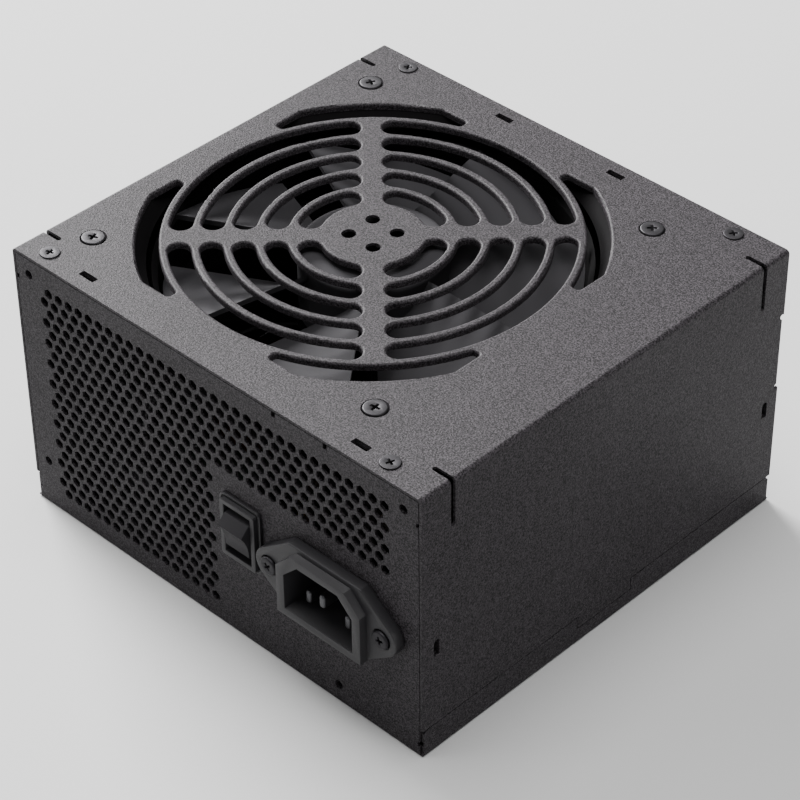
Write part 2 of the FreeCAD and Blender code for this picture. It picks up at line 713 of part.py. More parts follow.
def fan_frame():
    """Square frame with a round duct, four struts and the bearing tube."""
    half = FAN_SIZE / 2
    body = box(FAN_X - half, FAN_X + half, FAN_Y - half, FAN_Y + half, FAN_BOTTOM, FAN_TOP)
    body = round_where(body, FRAME_CORNER_R, lambda b: flat(b.XLength) and flat(b.YLength))
    pocket = box(FAN_X - half - 1, FAN_X + half + 1, FAN_Y - half - 1, FAN_Y + half + 1,
                 FAN_BOTTOM + FRAME_PLATE, FAN_TOP - FRAME_PLATE)
    keep = [post(FAN_X, FAN_Y, FAN_BOTTOM, DUCT_R + DUCT_WALL, FAN_DEPTH)]
    keep += [post(x, y, FAN_BOTTOM, FRAME_POST_R, FAN_DEPTH) for x, y in fan_places()]
    body = body.cut(pocket.cut(keep))
    cuts = [post(FAN_X, FAN_Y, FAN_BOTTOM - 1, DUCT_R, FAN_DEPTH + 2)]
    cuts += [post(x, y, FAN_BOTTOM - 1, FRAME_HOLE_R, FAN_DEPTH + 2) for x, y in fan_places()]
    mouth = Part.makeCone(DUCT_R, MOUTH_R, MOUTH_DEPTH, V(FAN_X, FAN_Y, FAN_TOP - MOUTH_DEPTH), Z_AXIS)
    inside = half - MOUTH_RIM
    mouth = mouth.common(box(FAN_X - inside, FAN_X + inside, FAN_Y - inside, FAN_Y + inside,
                             FAN_TOP - MOUTH_DEPTH, FAN_TOP))
    body = body.cut(cuts + [mouth])
    parts = [body, post(FAN_X, FAN_Y, FAN_BOTTOM, BASE_R, BASE_THICK)]
    for k in range(4):
        strut = box(FAN_X + BASE_R - 2, FAN_X + DUCT_R + DUCT_WALL / 2, FAN_Y - STRUT_WIDTH / 2,
                    FAN_Y + STRUT_WIDTH / 2, FAN_BOTTOM, FAN_BOTTOM + STRUT_THICK)
        parts.append(turned(strut, 45 + 90 * k, FAN_X, FAN_Y))
    parts.append(post(FAN_X, FAN_Y, FAN_BOTTOM, TUBE_R, TUBE_LENGTH))
    frame = fuse_all(parts)
    hole = fan_lead_place(FAN_BOTTOM - 1)
    return frame.cut([post(FAN_X, FAN_Y, FAN_BOTTOM + 1, BEARING_R, TUBE_LENGTH + 1),
                      post(hole.x, hole.y, hole.z, FAN_LEAD_R + 0.5, 5)])


def blade():
    """One twisted blade, its high leading edge on a radius."""
    slope = math.tan(math.radians(BLADE_HALF_ANGLE))
    wires = []
    for x, lead_drop, trail_drop in BLADE_SECTIONS:
        half = x * slope
        lead_z = FAN_TOP - lead_drop
        trail_z = FAN_TOP - trail_drop
        mid_z = (lead_z + trail_z) / 2 - BLADE_SAG
        high = V(x, half, lead_z)
        low = V(x, -half, trail_z)
        mid = V(x, 0, mid_z)
        drop = V(0, 0, -BLADE_THICK)
        top = Part.Arc(high, mid, low).toShape()
        bottom = Part.Arc(low + drop, mid + drop, high + drop).toShape()
        ends = [Part.LineSegment(low, low + drop).toShape(), Part.LineSegment(high + drop, high).toShape()]
        wires.append(Part.Wire([top, ends[0], bottom, ends[1]]))
    solid = Part.makeLoft(wires, True, False)
    tube = ring(0, 0, FAN_BOTTOM, BLADE_R, ROTOR_R - 0.6, FAN_DEPTH)
    piece = one_solid(solid.common(tube))
    piece.translate(V(FAN_X, FAN_Y, 0))
    return piece


def fan_rotor():
    """Hub cup with its blades."""
    cup = post(FAN_X, FAN_Y, CUP_BOTTOM, ROTOR_R, CUP_TOP - CUP_BOTTOM)
    cup = round_where(cup, 1.6, lambda b: b.ZMin > CUP_TOP - 0.01)
    cup = cup.cut(post(FAN_X, FAN_Y, CUP_BOTTOM - 1, ROTOR_R - CUP_WALL, CUP_TOP - CUP_BOTTOM - 0.8))
    boss = post(FAN_X, FAN_Y, CUP_TOP - 4.5, 3.6, 3.5)
    blades = []
    for k in range(BLADE_COUNT):
        angle = -BLADE_HALF_ANGLE + 360.0 * k / BLADE_COUNT
        blades.append(turned(blade(), angle, FAN_X, FAN_Y))
    rotor = fuse_all([cup, boss] + blades)
    return rotor.cut(post(FAN_X, FAN_Y, CUP_TOP - 5, SHAFT_R, 4.0))


def fan_motor():
    """Shaft, bearing, magnet, laminated stator, coils and circuit board."""
    shaft = post(FAN_X, FAN_Y, FAN_BOTTOM + 2.4, SHAFT_R, CUP_TOP - 1.0 - FAN_BOTTOM - 2.4)
    bearing = ring(FAN_X, FAN_Y, FAN_BOTTOM + 1, BEARING_R - FIT_GAP, SHAFT_R + RUNNING_GAP,
                   BEARING_LENGTH)
    magnet_r = ROTOR_R - CUP_WALL
    magnet = ring(FAN_X, FAN_Y, CUP_BOTTOM + 1, magnet_r - FIT_GAP, magnet_r - MAGNET_THICK,
                  MAGNET_LENGTH)
    save("fan_shaft", shaft)
    save("fan_bearing", bearing)
    save("fan_magnet", magnet)
    core_z = BASE_Z + 7.0
    core_h = CORE_LENGTH
    tip_r = magnet_r - MAGNET_THICK - 0.7
    hub = ring(FAN_X, FAN_Y, core_z, 8.0, TUBE_R + FIT_GAP, core_h)
    arms = []
    coils = []
    for k in range(4):
        arm = box(FAN_X + 7.5, FAN_X + tip_r - 1.0, FAN_Y - 2, FAN_Y + 2, core_z, core_z + core_h)
        shoe = ring(FAN_X, FAN_Y, core_z, tip_r, tip_r - 1.6, core_h)
        shoe = shoe.common(box(FAN_X, FAN_X + 30, FAN_Y - 8.5, FAN_Y + 8.5, core_z, core_z + core_h))
        arms += [turned(arm, 90 * k + 45, FAN_X, FAN_Y), turned(shoe, 90 * k + 45, FAN_X, FAN_Y)]
        coil = box(FAN_X + 9.2, FAN_X + tip_r - 2.2, FAN_Y - 4.2, FAN_Y + 4.2,
                   core_z - 2.0, core_z + core_h + 2.0)
        coil = round_where(coil, 1.6, lambda b: flat(b.YLength) and flat(b.ZLength))
        hole = box(FAN_X + 8, FAN_X + 20, FAN_Y - 2.05, FAN_Y + 2.05, core_z - 0.05, core_z + core_h + 0.05)
        coils.append(turned(coil.cut(hole), 90 * k + 45, FAN_X, FAN_Y))
    save("fan_stator", fuse_all([hub] + arms))
    save("fan_coils", *coils)
    save("fan_circuit_board", ring(FAN_X, FAN_Y, BASE_Z + 2.0, 16.0, TUBE_R + FIT_GAP, 1.0))


def fan_wiring():
    """Lead from the fan's circuit board to its plug on the converter board."""
    plug_x = 27.0 - HALF_W
    plug_y = REAR + 18.0
    plug_z = BOARD_TOP + 9.5
    points = [
        fan_lead_place(BASE_Z + 1.95),
        fan_lead_place(FAN_BOTTOM - 2.2),
        fan_lead_place(FAN_BOTTOM - 2.4, 34.0),
        V(plug_x + 6, plug_y + 14, 46.0),
        V(plug_x, plug_y, 36.0),
        V(plug_x, plug_y, plug_z + 0.05),
    ]
    save("fan_lead", lead(points, FAN_LEAD_R))
    plug = block(plug_x, plug_y, BOARD_TOP + 3.5, 7.0, 4.6, 6.0)
    plug = bevel_where(plug, 0.6, lambda b: flat(b.XLength) and flat(b.YLength))
    header = block(plug_x, plug_y, BOARD_TOP, 8.4, 6.6, 7.0)
    header = header.cut(block(plug_x, plug_y, BOARD_TOP + 3.45, 7.1, 4.7, 8.0))
    save("fan_plug", plug)
    save("fan_header", header)


# ---------------------------------------------------------------- rocker switch
def switch_window():
    """Half width and half height of the opening round the rocker."""
    half_h = math.hypot(ROCKER_HALF, ROCKER_CREST) + 0.25
    return ROCKER_WIDTH / 2 + WINDOW_GAP, half_h


def pivot_y():
    """Depth of the rocker's pivot."""
    return REAR - ROCKER_PIVOT_OUT


def switch_housing():
    """Stepped bezel and box-shaped body with the rocker's well."""
    sw, sh = switch_body_half()
    ww, wh = switch_window()
    foot_out = BEZEL_OUT * 0.45
    foot = box(SWITCH_X - BEZEL_WIDTH / 2, SWITCH_X + BEZEL_WIDTH / 2, REAR - foot_out, REAR,
               SWITCH_Z - BEZEL_HEIGHT / 2, SWITCH_Z + BEZEL_HEIGHT / 2)
    foot = round_where(foot, 1.2, lambda b: flat(b.XLength) and flat(b.ZLength))
    inset = 0.6
    rim = box(SWITCH_X - BEZEL_WIDTH / 2 + inset, SWITCH_X + BEZEL_WIDTH / 2 - inset,
              REAR - BEZEL_OUT, REAR, SWITCH_Z - BEZEL_HEIGHT / 2 + inset,
              SWITCH_Z + BEZEL_HEIGHT / 2 - inset)
    rim = round_where(rim, 1.0, lambda b: flat(b.XLength) and flat(b.ZLength))
    rim = round_where(rim, 0.35, lambda b: flat(b.YLength) and b.YMax < REAR - BEZEL_OUT + 0.01)
    body = box(SWITCH_X - sw, SWITCH_X + sw, REAR, REAR + SWITCH_DEPTH, SWITCH_Z - sh, SWITCH_Z + sh)
    snaps = []
    for side in (-1, 1):
        x = SWITCH_X + side * sw
        outline = [V(x, PANEL_IN + 0.1, 0), V(x + side * 1.0, PANEL_IN + 0.1, 0), V(x, REAR + 6.0, 0)]
        snap = Part.Face(polygon(outline)).extrude(V(0, 0, 6.0))
        snap.translate(V(0, 0, SWITCH_Z - 3.0))
        snaps.append(snap)
    housing = fuse_all([foot, rim, body] + snaps)
    well = box(SWITCH_X - ww, SWITCH_X + ww, REAR - BEZEL_OUT - 1, REAR + SWITCH_DEPTH - 1.2,
               SWITCH_Z - wh, SWITCH_Z + wh)
    well = round_where(well, 0.8, lambda b: flat(b.XLength) and flat(b.ZLength))
    axle = Part.makeCylinder(AXLE_R + RUNNING_GAP, 2 * ww + 1.4,
                             V(SWITCH_X - ww - 0.7, pivot_y(), SWITCH_Z), X_AXIS)
    slot_x = TERMINAL_WIDTH / 2 + 0.8
    slot_z = TERMINAL_THICK / 2 + 0.05
    slots = [box(SWITCH_X - slot_x, SWITCH_X + slot_x, REAR + SWITCH_DEPTH - 2, REAR + SWITCH_DEPTH + 1,
                 z - slot_z, z + slot_z) for z in (SWITCH_Z, SWITCH_Z - TERMINAL_DROP)]
    return housing.cut([well, axle] + slots)


def switch_rocker():
    """Dished rocker with its axle stubs, top end tilted outwards."""
    ww, _ = switch_window()
    py = pivot_y()
    crest = py - ROCKER_CREST
    sag = ROCKER_DISH_R - math.sqrt(ROCKER_DISH_R ** 2 - ROCKER_HALF ** 2)
    x0 = SWITCH_X - ROCKER_WIDTH / 2

    def at(y, dz):
        return V(x0, y, SWITCH_Z + dz)

    foot_y = py + 1.3
    keel_y = py + 4.2
    edges = [
        Part.Arc(at(crest, ROCKER_HALF), at(crest + sag, 0), at(crest, -ROCKER_HALF)).toShape(),
        Part.LineSegment(at(crest, -ROCKER_HALF), at(foot_y, -ROCKER_HALF)).toShape(),
        Part.LineSegment(at(foot_y, -ROCKER_HALF), at(keel_y, -2.0)).toShape(),
        Part.LineSegment(at(keel_y, -2.0), at(keel_y, 2.0)).toShape(),
        Part.LineSegment(at(keel_y, 2.0), at(foot_y, ROCKER_HALF)).toShape(),
        Part.LineSegment(at(foot_y, ROCKER_HALF), at(crest, ROCKER_HALF)).toShape(),
    ]
    body = Part.Face(Part.Wire(edges)).extrude(V(ROCKER_WIDTH, 0, 0))
    body = round_where(body, 0.35, lambda b: b.YMax < py - 1.5)
    axle = Part.makeCylinder(AXLE_R, 2 * ww + 1.2, V(SWITCH_X - ww - 0.6, py, SWITCH_Z), X_AXIS)
    rocker = fuse_all([body, axle])
    rocker = rocker.cut(along_y(SWITCH_X, py + 1.2, SWITCH_Z, PLUNGER_R + 0.05, 5.0))
    return turned(rocker, ROCKER_TILT, SWITCH_X, py, X_AXIS, SWITCH_Z)


def switch_inside():
    """Plunger in the rocker, the curved strip it wipes along, and the terminals."""
    py = pivot_y()
    bore = py + 1.2
    plunger = along_y(SWITCH_X, bore, SWITCH_Z, PLUNGER_R, PLUNGER_TIP - 1.2 - PLUNGER_R)
    tip = Part.makeSphere(PLUNGER_R, V(SWITCH_X, py + PLUNGER_TIP - PLUNGER_R, SWITCH_Z))
    plunger = plunger.fuse(tip).removeSplitter()
    save("switch_plunger", turned(plunger, ROCKER_TILT, SWITCH_X, py, X_AXIS, SWITCH_Z))
    inner = PLUNGER_TIP + WIPE_GAP
    outer = inner + CONTACT_THICK
    x0 = SWITCH_X - CONTACT_WIDTH / 2
    start = V(x0, py, SWITCH_Z)
    tube = Part.makeCylinder(outer, CONTACT_WIDTH, start, X_AXIS)
    tube = tube.cut(Part.makeCylinder(inner, CONTACT_WIDTH, start, X_AXIS))
    strip = tube.common(box(x0, x0 + CONTACT_WIDTH, py, py + outer + 1,
                            SWITCH_Z - CONTACT_HALF_HEIGHT, SWITCH_Z + CONTACT_HALF_HEIGHT))
    save("switch_contact", strip)
    back = REAR + SWITCH_DEPTH
    terminals = []
    for z, front in ((SWITCH_Z, py + outer + 0.02), (SWITCH_Z - TERMINAL_DROP, back - 2.7)):
        terminals.append(box(SWITCH_X - TERMINAL_WIDTH / 2, SWITCH_X + TERMINAL_WIDTH / 2, front,
                             back + TERMINAL_LENGTH, z - TERMINAL_THICK / 2, z + TERMINAL_THICK / 2))
    save("switch_terminals", *terminals)


# ---------------------------------------------------------------- mains inlet
def flange_outline():
    """Hexagonal flange outline with round tips, in the XZ plane."""
    half = INLET_SCREWS / 2
    r = INLET_TIP_R
    dx = half - FLANGE_TOP_HALF
    dz = FLANGE_HALF_HEIGHT
    to_centre = math.atan2(-dz, dx)
    direction = to_centre + math.asin(r / math.hypot(dx, dz))
    touch = math.sqrt(dx * dx + dz * dz - r * r)
    tx = FLANGE_TOP_HALF + touch * math.cos(direction)
    tz = FLANGE_HALF_HEIGHT + touch * math.sin(direction)

    def at(x, z):
        return V(INLET_X + x, 0, INLET_Z + z)

    top = FLANGE_TOP_HALF
    edges = [
        Part.LineSegment(at(-top, dz), at(top, dz)),
        Part.LineSegment(at(top, dz), at(tx, tz)),
        Part.Arc(at(tx, tz), at(half + r, 0), at(tx, -tz)),
        Part.LineSegment(at(tx, -tz), at(top, -dz)),
        Part.LineSegment(at(top, -dz), at(-top, -dz)),
        Part.LineSegment(at(-top, -dz), at(-tx, -tz)),
        Part.Arc(at(-tx, -tz), at(-half - r, 0), at(-tx, tz)),
        Part.LineSegment(at(-tx, tz), at(-top, dz)),
    ]
    return Part.Wire([e.toShape() for e in edges])


def bevelled_outline(half_w, half_h, bevel):
    """Rectangle in the XZ plane with its two upper corners cut off."""
    points = [(-half_w, -half_h), (half_w, -half_h), (half_w, half_h - bevel),
              (half_w - bevel, half_h), (bevel - half_w, half_h), (-half_w, half_h - bevel)]
    return polygon([V(INLET_X + x, 0, INLET_Z + z) for x, z in points])


def inlet_housing():
    """Flange, raised shroud and body round the pin socket."""
    iw, ih = inlet_body_half()
    flange = plate_y([flange_outline()], REAR - INLET_FLANGE_OUT, INLET_FLANGE_OUT)
    flange = round_where(flange, 0.5, lambda b: b.YMax < REAR - INLET_FLANGE_OUT + 0.01)
    shroud = plate_y([bevelled_outline(SHROUD_HALF_WIDTH, SHROUD_HALF_HEIGHT, 5.4)],
                     REAR - SHROUD_OUT, SHROUD_OUT)
    shroud = round_where(shroud, 0.6, lambda b: b.YMax < REAR - SHROUD_OUT + 0.01)
    body = box(INLET_X - iw, INLET_X + iw, REAR, REAR - SHROUD_OUT + SOCKET_DEPTH + 2.0,
               INLET_Z - ih, INLET_Z + ih)
    housing = fuse_all([flange, shroud, body])
    well = plate_y([bevelled_outline(SOCKET_HALF_WIDTH, SOCKET_HALF_HEIGHT, 5.0)],
                   REAR - SHROUD_OUT - 1, SOCKET_DEPTH + 1)
    cuts = [well]
    for side in (-1, 1):
        x = INLET_X + side * INLET_SCREWS / 2
        cuts.append(along_y(x, REAR - 10, INLET_Z, SCREW_HOLE_R, 20))
        cuts.append(Part.makeCone(SCREW_HOLE_R + 1.5, SCREW_HOLE_R, 1.5,
                                  V(x, REAR - INLET_FLANGE_OUT, INLET_Z), Y_AXIS))
    for x, z in pin_places():
        cuts.append(box(x - PIN_THICK / 2, x + PIN_THICK / 2, REAR, REAR + 30,
                        z - PIN_TALL / 2, z + PIN_TALL / 2))
    return housing.cut(cuts)


def pin_places():
    """Line, neutral and earth pins; the earth pin is in the middle and higher."""
    return [(INLET_X - PIN_SPACING, INLET_Z - 3.5), (INLET_X + PIN_SPACING, INLET_Z - 3.5),
            (INLET_X, INLET_Z + 0.5)]


def inlet_pin(x, z, recess):
    """Flat pin with a rounded tip and a solder tab behind the housing."""
    tip = REAR - SHROUD_OUT + recess
    tail = REAR - SHROUD_OUT + SOCKET_DEPTH + 2.0
    pin = box(x - PIN_THICK / 2, x + PIN_THICK / 2, tip, tail, z - PIN_TALL / 2, z + PIN_TALL / 2)
    pin = round_where(pin, 0.7, lambda b: b.YMax < tip + 0.01)
    tab = box(x - 0.4, x + 0.4, tail - 1, tail + 8, z - PIN_TALL / 2 + 0.2, z + PIN_TALL / 2 - 0.2)
    return fuse_all([pin, tab])


def inlet_fasteners():
    """Countersunk screws through the flange and their nuts inside."""
    screws = []
    nuts = []
    face = REAR - INLET_FLANGE_OUT
    for side in (-1, 1):
        x = INLET_X + side * INLET_SCREWS / 2
        down = screw_down(x, 0, 0, 2.75, 0.9, SCREW_R, 9.0)
        cone = Part.makeCone(SCREW_R, 2.75, 1.3, V(x, 0, -1.3), Z_AXIS)
        screw = fuse_all([down, cone])
        screw.rotate(V(x, 0, 0), X_AXIS, 90)
        screw.translate(V(0, face + 0.05, INLET_Z))
        screws.append(screw)
        points = []
        for k in range(6):
            angle = math.radians(60 * k)
            points.append(V(x + 3.1 * math.cos(angle), 0, INLET_Z + 3.1 * math.sin(angle)))
        nut = plate_y([polygon(points), circle_xz(x, INLET_Z, SCREW_R + 0.02)], PANEL_IN, 2.4)
        nuts.append(nut)
    save("inlet_screws", *screws)
    save("inlet_nuts", *nuts)


# ---------------------------------------------------------------- board and its mounting
def board_mounting():
    """Insulating film, standoffs, board and screws."""
    film = box(-BOARD_HALF_X - FILM_EDGE, BOARD_HALF_X + FILM_EDGE,
               BOARD_BACK - FILM_EDGE, BOARD_FRONT + FILM_EDGE, SHEET, SHEET + FILM_THICK)
    film = film.cut([post(x, y, 0, STANDOFF_R + 1, 4) for x, y in STANDOFFS])
    save("insulation_sheet", film)
    posts = []
    screws = []
    for x, y in STANDOFFS:
        posts.append(ring(x, y, SHEET, STANDOFF_R, SCREW_HOLE_R, BOARD_Z - SHEET))
        lift = LUG_THICK if (x, y) == LUG_POST else 0.0
        screws.append(screw_down(x, y, BOARD_TOP + lift, 2.8, 1.8, SCREW_R, 5.5 + lift))
    save("board_standoffs", *posts)
    save("board_screws", *screws)
    board = box(-BOARD_HALF_X, BOARD_HALF_X, BOARD_BACK, BOARD_FRONT, BOARD_Z, BOARD_TOP)
    board = board.cut([post(x, y, BOARD_Z - 1, SCREW_HOLE_R, 4) for x, y in STANDOFFS])
    save("main_board", board)


def cable_grommet():
    """Snap-in bush that lines the cable outlet of the front panel."""
    lip = OUTLET_R + 2.2
    back = FRONT - SHEET
    flange_out = along_y(OUTLET_X, FRONT, OUTLET_Z, lip, 1.8)
    flange_out = round_where(flange_out, 0.8, lambda b: b.YMin > FRONT + 1.79)
    neck = along_y(OUTLET_X, back, OUTLET_Z, OUTLET_R - 0.05, SHEET)
    flange_in = along_y(OUTLET_X, back - 2.0, OUTLET_Z, lip - 0.6, 2.0)
    bush = fuse_all([flange_out, neck, flange_in])
    return bush.cut(along_y(OUTLET_X, back - 5, OUTLET_Z, OUTLET_R - 2.0, 12))


# ---------------------------------------------------------------- converter parts
def heatsink(x_face, direction, y0, y1):
    """Upright extrusion; fins point in the given X direction."""
    x0, x1 = sorted((x_face, x_face + direction * SINK_THICK))
    parts = [box(x0, x1, y0, y1, BOARD_TOP, BOARD_TOP + SINK_HEIGHT)]
    root = x_face + direction * SINK_THICK
    for k in range(4):
        z = BOARD_TOP + SINK_HEIGHT - 1.4 - k * 6.0
        f0, f1 = sorted((root, root + direction * 6.5))
        parts.append(box(f0, f1, y0, y1, z, z + 1.4))
    return fuse_all(parts)


def power_package(x_face, direction, y, width, tall):
    """Transistor with its tab against a heatsink face and three legs into the board."""
    base = BOARD_TOP + 7.0
    thick = 4.4
    x0, x1 = sorted((x_face + direction * 1.3, x_face + direction * thick))
    body = box(x0, x1, y - width / 2, y + width / 2, base, base + tall * 0.62)
    body = bevel_where(body, 0.5, lambda b: flat(b.XLength) and flat(b.ZLength)
                       and abs(b.XMin - (x_face + direction * thick)) < 0.01)
    t0, t1 = sorted((x_face, x_face + direction * 1.35))
    tab = box(t0, t1, y - width / 2, y + width / 2, base, base + tall)
    tab = tab.cut(Part.makeCylinder(SCREW_HOLE_R + 0.05, 6, V(t0 - 2, y, base + tall * 0.82), X_AXIS))
    legs = []
    leg_x = x_face + direction * 2.6
    for k in (-1, 0, 1):
        legs.append(block(leg_x, y + k * width / 4, BOARD_TOP, 0.6, 0.8, 7.5))
    return fuse_all([body, tab] + legs)


def sink_screw(x_face, direction, y, tall, depth):
    """Screw through a package's tab into the heatsink."""
    z = BOARD_TOP + 7.0 + tall * 0.82
    screw = screw_down(0, 0, 0, 2.6, 1.8, SCREW_R, depth)
    screw.rotate(ORIGIN, Y_AXIS, 90 * direction)
    screw.translate(V(x_face + direction * 1.35, y, z))
    return screw


def cooled_parts():
    """Both heatsinks with their power packages and screws."""
    primary = heatsink(PRIMARY_FACE, -1, -24.0, 54.0)
    secondary = heatsink(SECONDARY_FACE, 1, -24.0, 40.0)
    screws = []
    transistors = []
    rectifiers = []
    first = primary
    second = secondary
    for y in PRIMARY_PLACES:
        transistors.append(power_package(PRIMARY_FACE, 1, y, 10.2, 17.0))
        screws.append(sink_screw(PRIMARY_FACE, 1, y, 17.0, 4.2))
        z = BOARD_TOP + 7.0 + 17.0 * 0.82
        first = first.cut(Part.makeCylinder(SCREW_HOLE_R, 20, V(PRIMARY_FACE - 10, y, z), X_AXIS))
    for y in SECONDARY_PLACES:
        rectifiers.append(power_package(SECONDARY_FACE, -1, y, 15.6, 21.0))
        screws.append(sink_screw(SECONDARY_FACE, -1, y, 21.0, 4.2))
        z = BOARD_TOP + 7.0 + 21.0 * 0.82
        second = second.cut(Part.makeCylinder(SCREW_HOLE_R, 20, V(SECONDARY_FACE - 10, y, z), X_AXIS))
    save("primary_heatsink", first)
    save("secondary_heatsink", second)
    save("primary_transistors", *transistors)
    save("secondary_rectifiers", *rectifiers)
    save("heatsink_screws", *screws)


def transformer(name, x, y, leg_r, height):
    """Ferrite core, flanged bobbin and winding, standing on the board."""
    yoke = leg_r * 0.75
    half_y = leg_r * 3.2
    half_x = leg_r * 1.15
    window_y = half_y - leg_r * 0.75
    window_z0 = BOARD_TOP + yoke
    window_z1 = BOARD_TOP + height - yoke
    core = box(x - half_x, x + half_x, y - half_y, y + half_y, BOARD_TOP, BOARD_TOP + height)
    core = core.cut(box(x - half_x - 1, x + half_x + 1, y - window_y, y + window_y, window_z0, window_z1))
    core = core.fuse(post(x, y, window_z0 - 1, leg_r, window_z1 - window_z0 + 2)).removeSplitter()
    tube = leg_r + 0.1
    rim = window_y - 0.3
    spool = ring(x, y, window_z0 + 0.1, tube + 0.9, tube, window_z1 - window_z0 - 0.2)
    rims = [ring(x, y, z, rim, tube, 1.2) for z in (window_z0 + 0.1, window_z1 - 1.3)]
    winding = ring(x, y, window_z0 + 1.4, rim - 0.8, tube + 0.95, window_z1 - window_z0 - 2.8)
    winding = round_where(winding, 0.8, lambda b: b.XLength > 2 * (rim - 0.81))
    save(name + "_core", core)
    save(name + "_bobbin", fuse_all([spool] + rims))
    save(name + "_winding", winding)


def toroid_core(x, y, inner, outer, height, lift):
    """Flat ring core."""
    core = ring(x, y, BOARD_TOP + lift, outer, inner, height)
    return round_where(core, 0.8, lambda b: flat(b.ZLength))


def toroid_windings(x, y, inner, outer, height, lift, wire, spans):
    """Wound sectors that wrap a ring core, one solid for each span of degrees."""
    gap = 0.1
    z0 = BOARD_TOP + lift
    pieces = []
    for start, sweep in spans:
        outer_loop = rectangle_xz(inner - wire, outer + wire, z0 - wire, z0 + height + wire)
        inner_loop = rectangle_xz(inner - gap, outer + gap, z0 - gap, z0 + height + gap)
        face = Part.makeFace([outer_loop, inner_loop], "Part::FaceMakerBullseye")
        piece = face.revolve(ORIGIN, Z_AXIS, sweep)
        piece.rotate(ORIGIN, Z_AXIS, start)
        piece.translate(V(x, y, 0))
        pieces.append(piece)
    return pieces


def chokes():
    """Power factor choke, output choke and the two mains filter chokes."""
    save("pfc_choke_core", toroid_core(CHOKE_X, -10.0, 7.0, 13.0, 11.0, 1.7))
    save("pfc_choke_winding", *toroid_windings(CHOKE_X, -10.0, 7.0, 13.0, 11.0, 1.7, 1.6, [(20, 320)]))
    save("output_choke_core", toroid_core(OUTPUT_X + 1.0, -10.0, 7.5, 14.0, 13.0, 2.1))
    save("output_choke_winding",
         *toroid_windings(OUTPUT_X + 1.0, -10.0, 7.5, 14.0, 13.0, 2.1, 2.0, [(15, 150), (195, 150)]))
    cores = []
    windings = []
    y = REAR + 34.5
    for x in (HALF_W - 37.0, HALF_W - 15.0):
        cores.append(toroid_core(x, y, 4.2, 7.6, 6.0, 1.3))
        windings += toroid_windings(x, y, 4.2, 7.6, 6.0, 1.3, 1.2, [(20, 140), (200, 140)])
    save("filter_choke_cores", *cores)
    save("filter_choke_windings", *windings)


def can(x, y, radius, height):
    """Electrolytic capacitor with a rolled groove and a rounded shoulder."""
    body = post(x, y, BOARD_TOP, radius, height)
    body = round_where(body, 0.8, lambda b: flat(b.ZLength) and b.ZMin > BOARD_TOP + 1)
    groove_z = BOARD_TOP + height * 0.09
    groove = ring(x, y, groove_z, radius + 1, radius - 0.5, 0.9)
    vent = [block(x, y, BOARD_TOP + height - 0.3, radius * 1.3, 0.5, 1),
            block(x, y, BOARD_TOP + height - 0.3, 0.5, radius * 1.3, 1)]
    return body.cut([groove] + vent)


def capacitors():
    """Bulk, output, X and Y capacitors."""
    save("bulk_capacitor", can(BULK_X, 28.0, 15.0, 42.0))
    outputs = [can(OUTPUT_X + dx, y, 5.0, 22.0) for dx in (-13.0, 0.0, 13.0) for y in (24.0, 38.0)]
    outputs += [can(OUTPUT_X + dx, 50.0, 4.0, 16.0) for dx in (-11.0, 0.0, 11.0)]
    save("output_capacitors", *outputs)
    cap = block(INLET_X + 2.0, REAR + 17.0, BOARD_TOP, 18.0, 8.0, 14.0)
    save("x_capacitor", round_where(cap, 0.6, lambda b: flat(b.ZLength) and b.ZMin > BOARD_TOP + 1))
    discs = []
    for y in (REAR + 24.0, REAR + 30.0):
        x = SWITCH_X - 12.0
        disc = along_y(x, y, BOARD_TOP + 5.5, 4.0, 2.4)
        disc = disc.fuse([block(x + dx, y + 1.2, BOARD_TOP, 0.7, 0.7, 3.5) for dx in (-2.2, 2.2)])
        discs.append(disc.removeSplitter())
    save("y_capacitors", *discs)


def fuse_group():
    """Glass fuse held by two spring clips."""
    y = REAR + 19.0
    z = BOARD_TOP + 4.5
    x0 = SWITCH_X + 3.0
    x1 = x0 + 20.0
    save("fuse", Part.makeCylinder(2.5, x1 - x0, V(x0, y, z), X_AXIS))
    clips = []
    for x in (x0 + 1, x1 - 5):
        clip = box(x, x + 4, y - 3.4, y + 3.4, BOARD_TOP, z + 1.8)
        clip = clip.cut(Part.makeCylinder(2.55, 6, V(x - 1, y, z), X_AXIS))
        clips.append(one_solid(clip.cut(box(x - 1, x + 5, y - 1.8, y + 1.8, z, z + 3))))
    save("fuse_clips", *clips)


def rectifier_and_control():
    """Bridge rectifier and the upright control board with its chips."""
    y = REAR + 35.4
    x = SWITCH_X + 8.0
    bridge = block(x, y, BOARD_TOP + 5, 15.0, 3.8, 15.0)
    bridge = bevel_where(bridge, 1.2, lambda b: flat(b.XLength) and flat(b.ZLength)
                         and b.ZMin > BOARD_TOP + 10)
    legs = [block(x + dx, y, BOARD_TOP, 1.0, 0.8, 5.5) for dx in (-5.5, -1.5, 2.0, 5.5)]
    save("bridge_rectifier", fuse_all([bridge] + legs))
    left = 9.0 - HALF_W
    face = left + 1.4
    board = box(left, face, REAR + 26, REAR + 60, BOARD_TOP, BOARD_TOP + 30)
    save("control_board", board)
    chips = []
    for back, z, wide, tall in ((33.0, 14.0, 8.0, 10.0), (44.0, 16.0, 6.0, 5.0), (54.0, 10.0, 6.0, 9.0)):
        chip = block(face + 1.0, REAR + back, BOARD_TOP + z - tall / 2, 2.0, wide, tall)
        chips.append(bevel_where(chip, 0.4, lambda b: flat(b.XLength) and b.XMin > face + 1.9))
    save("control_chips", *chips)


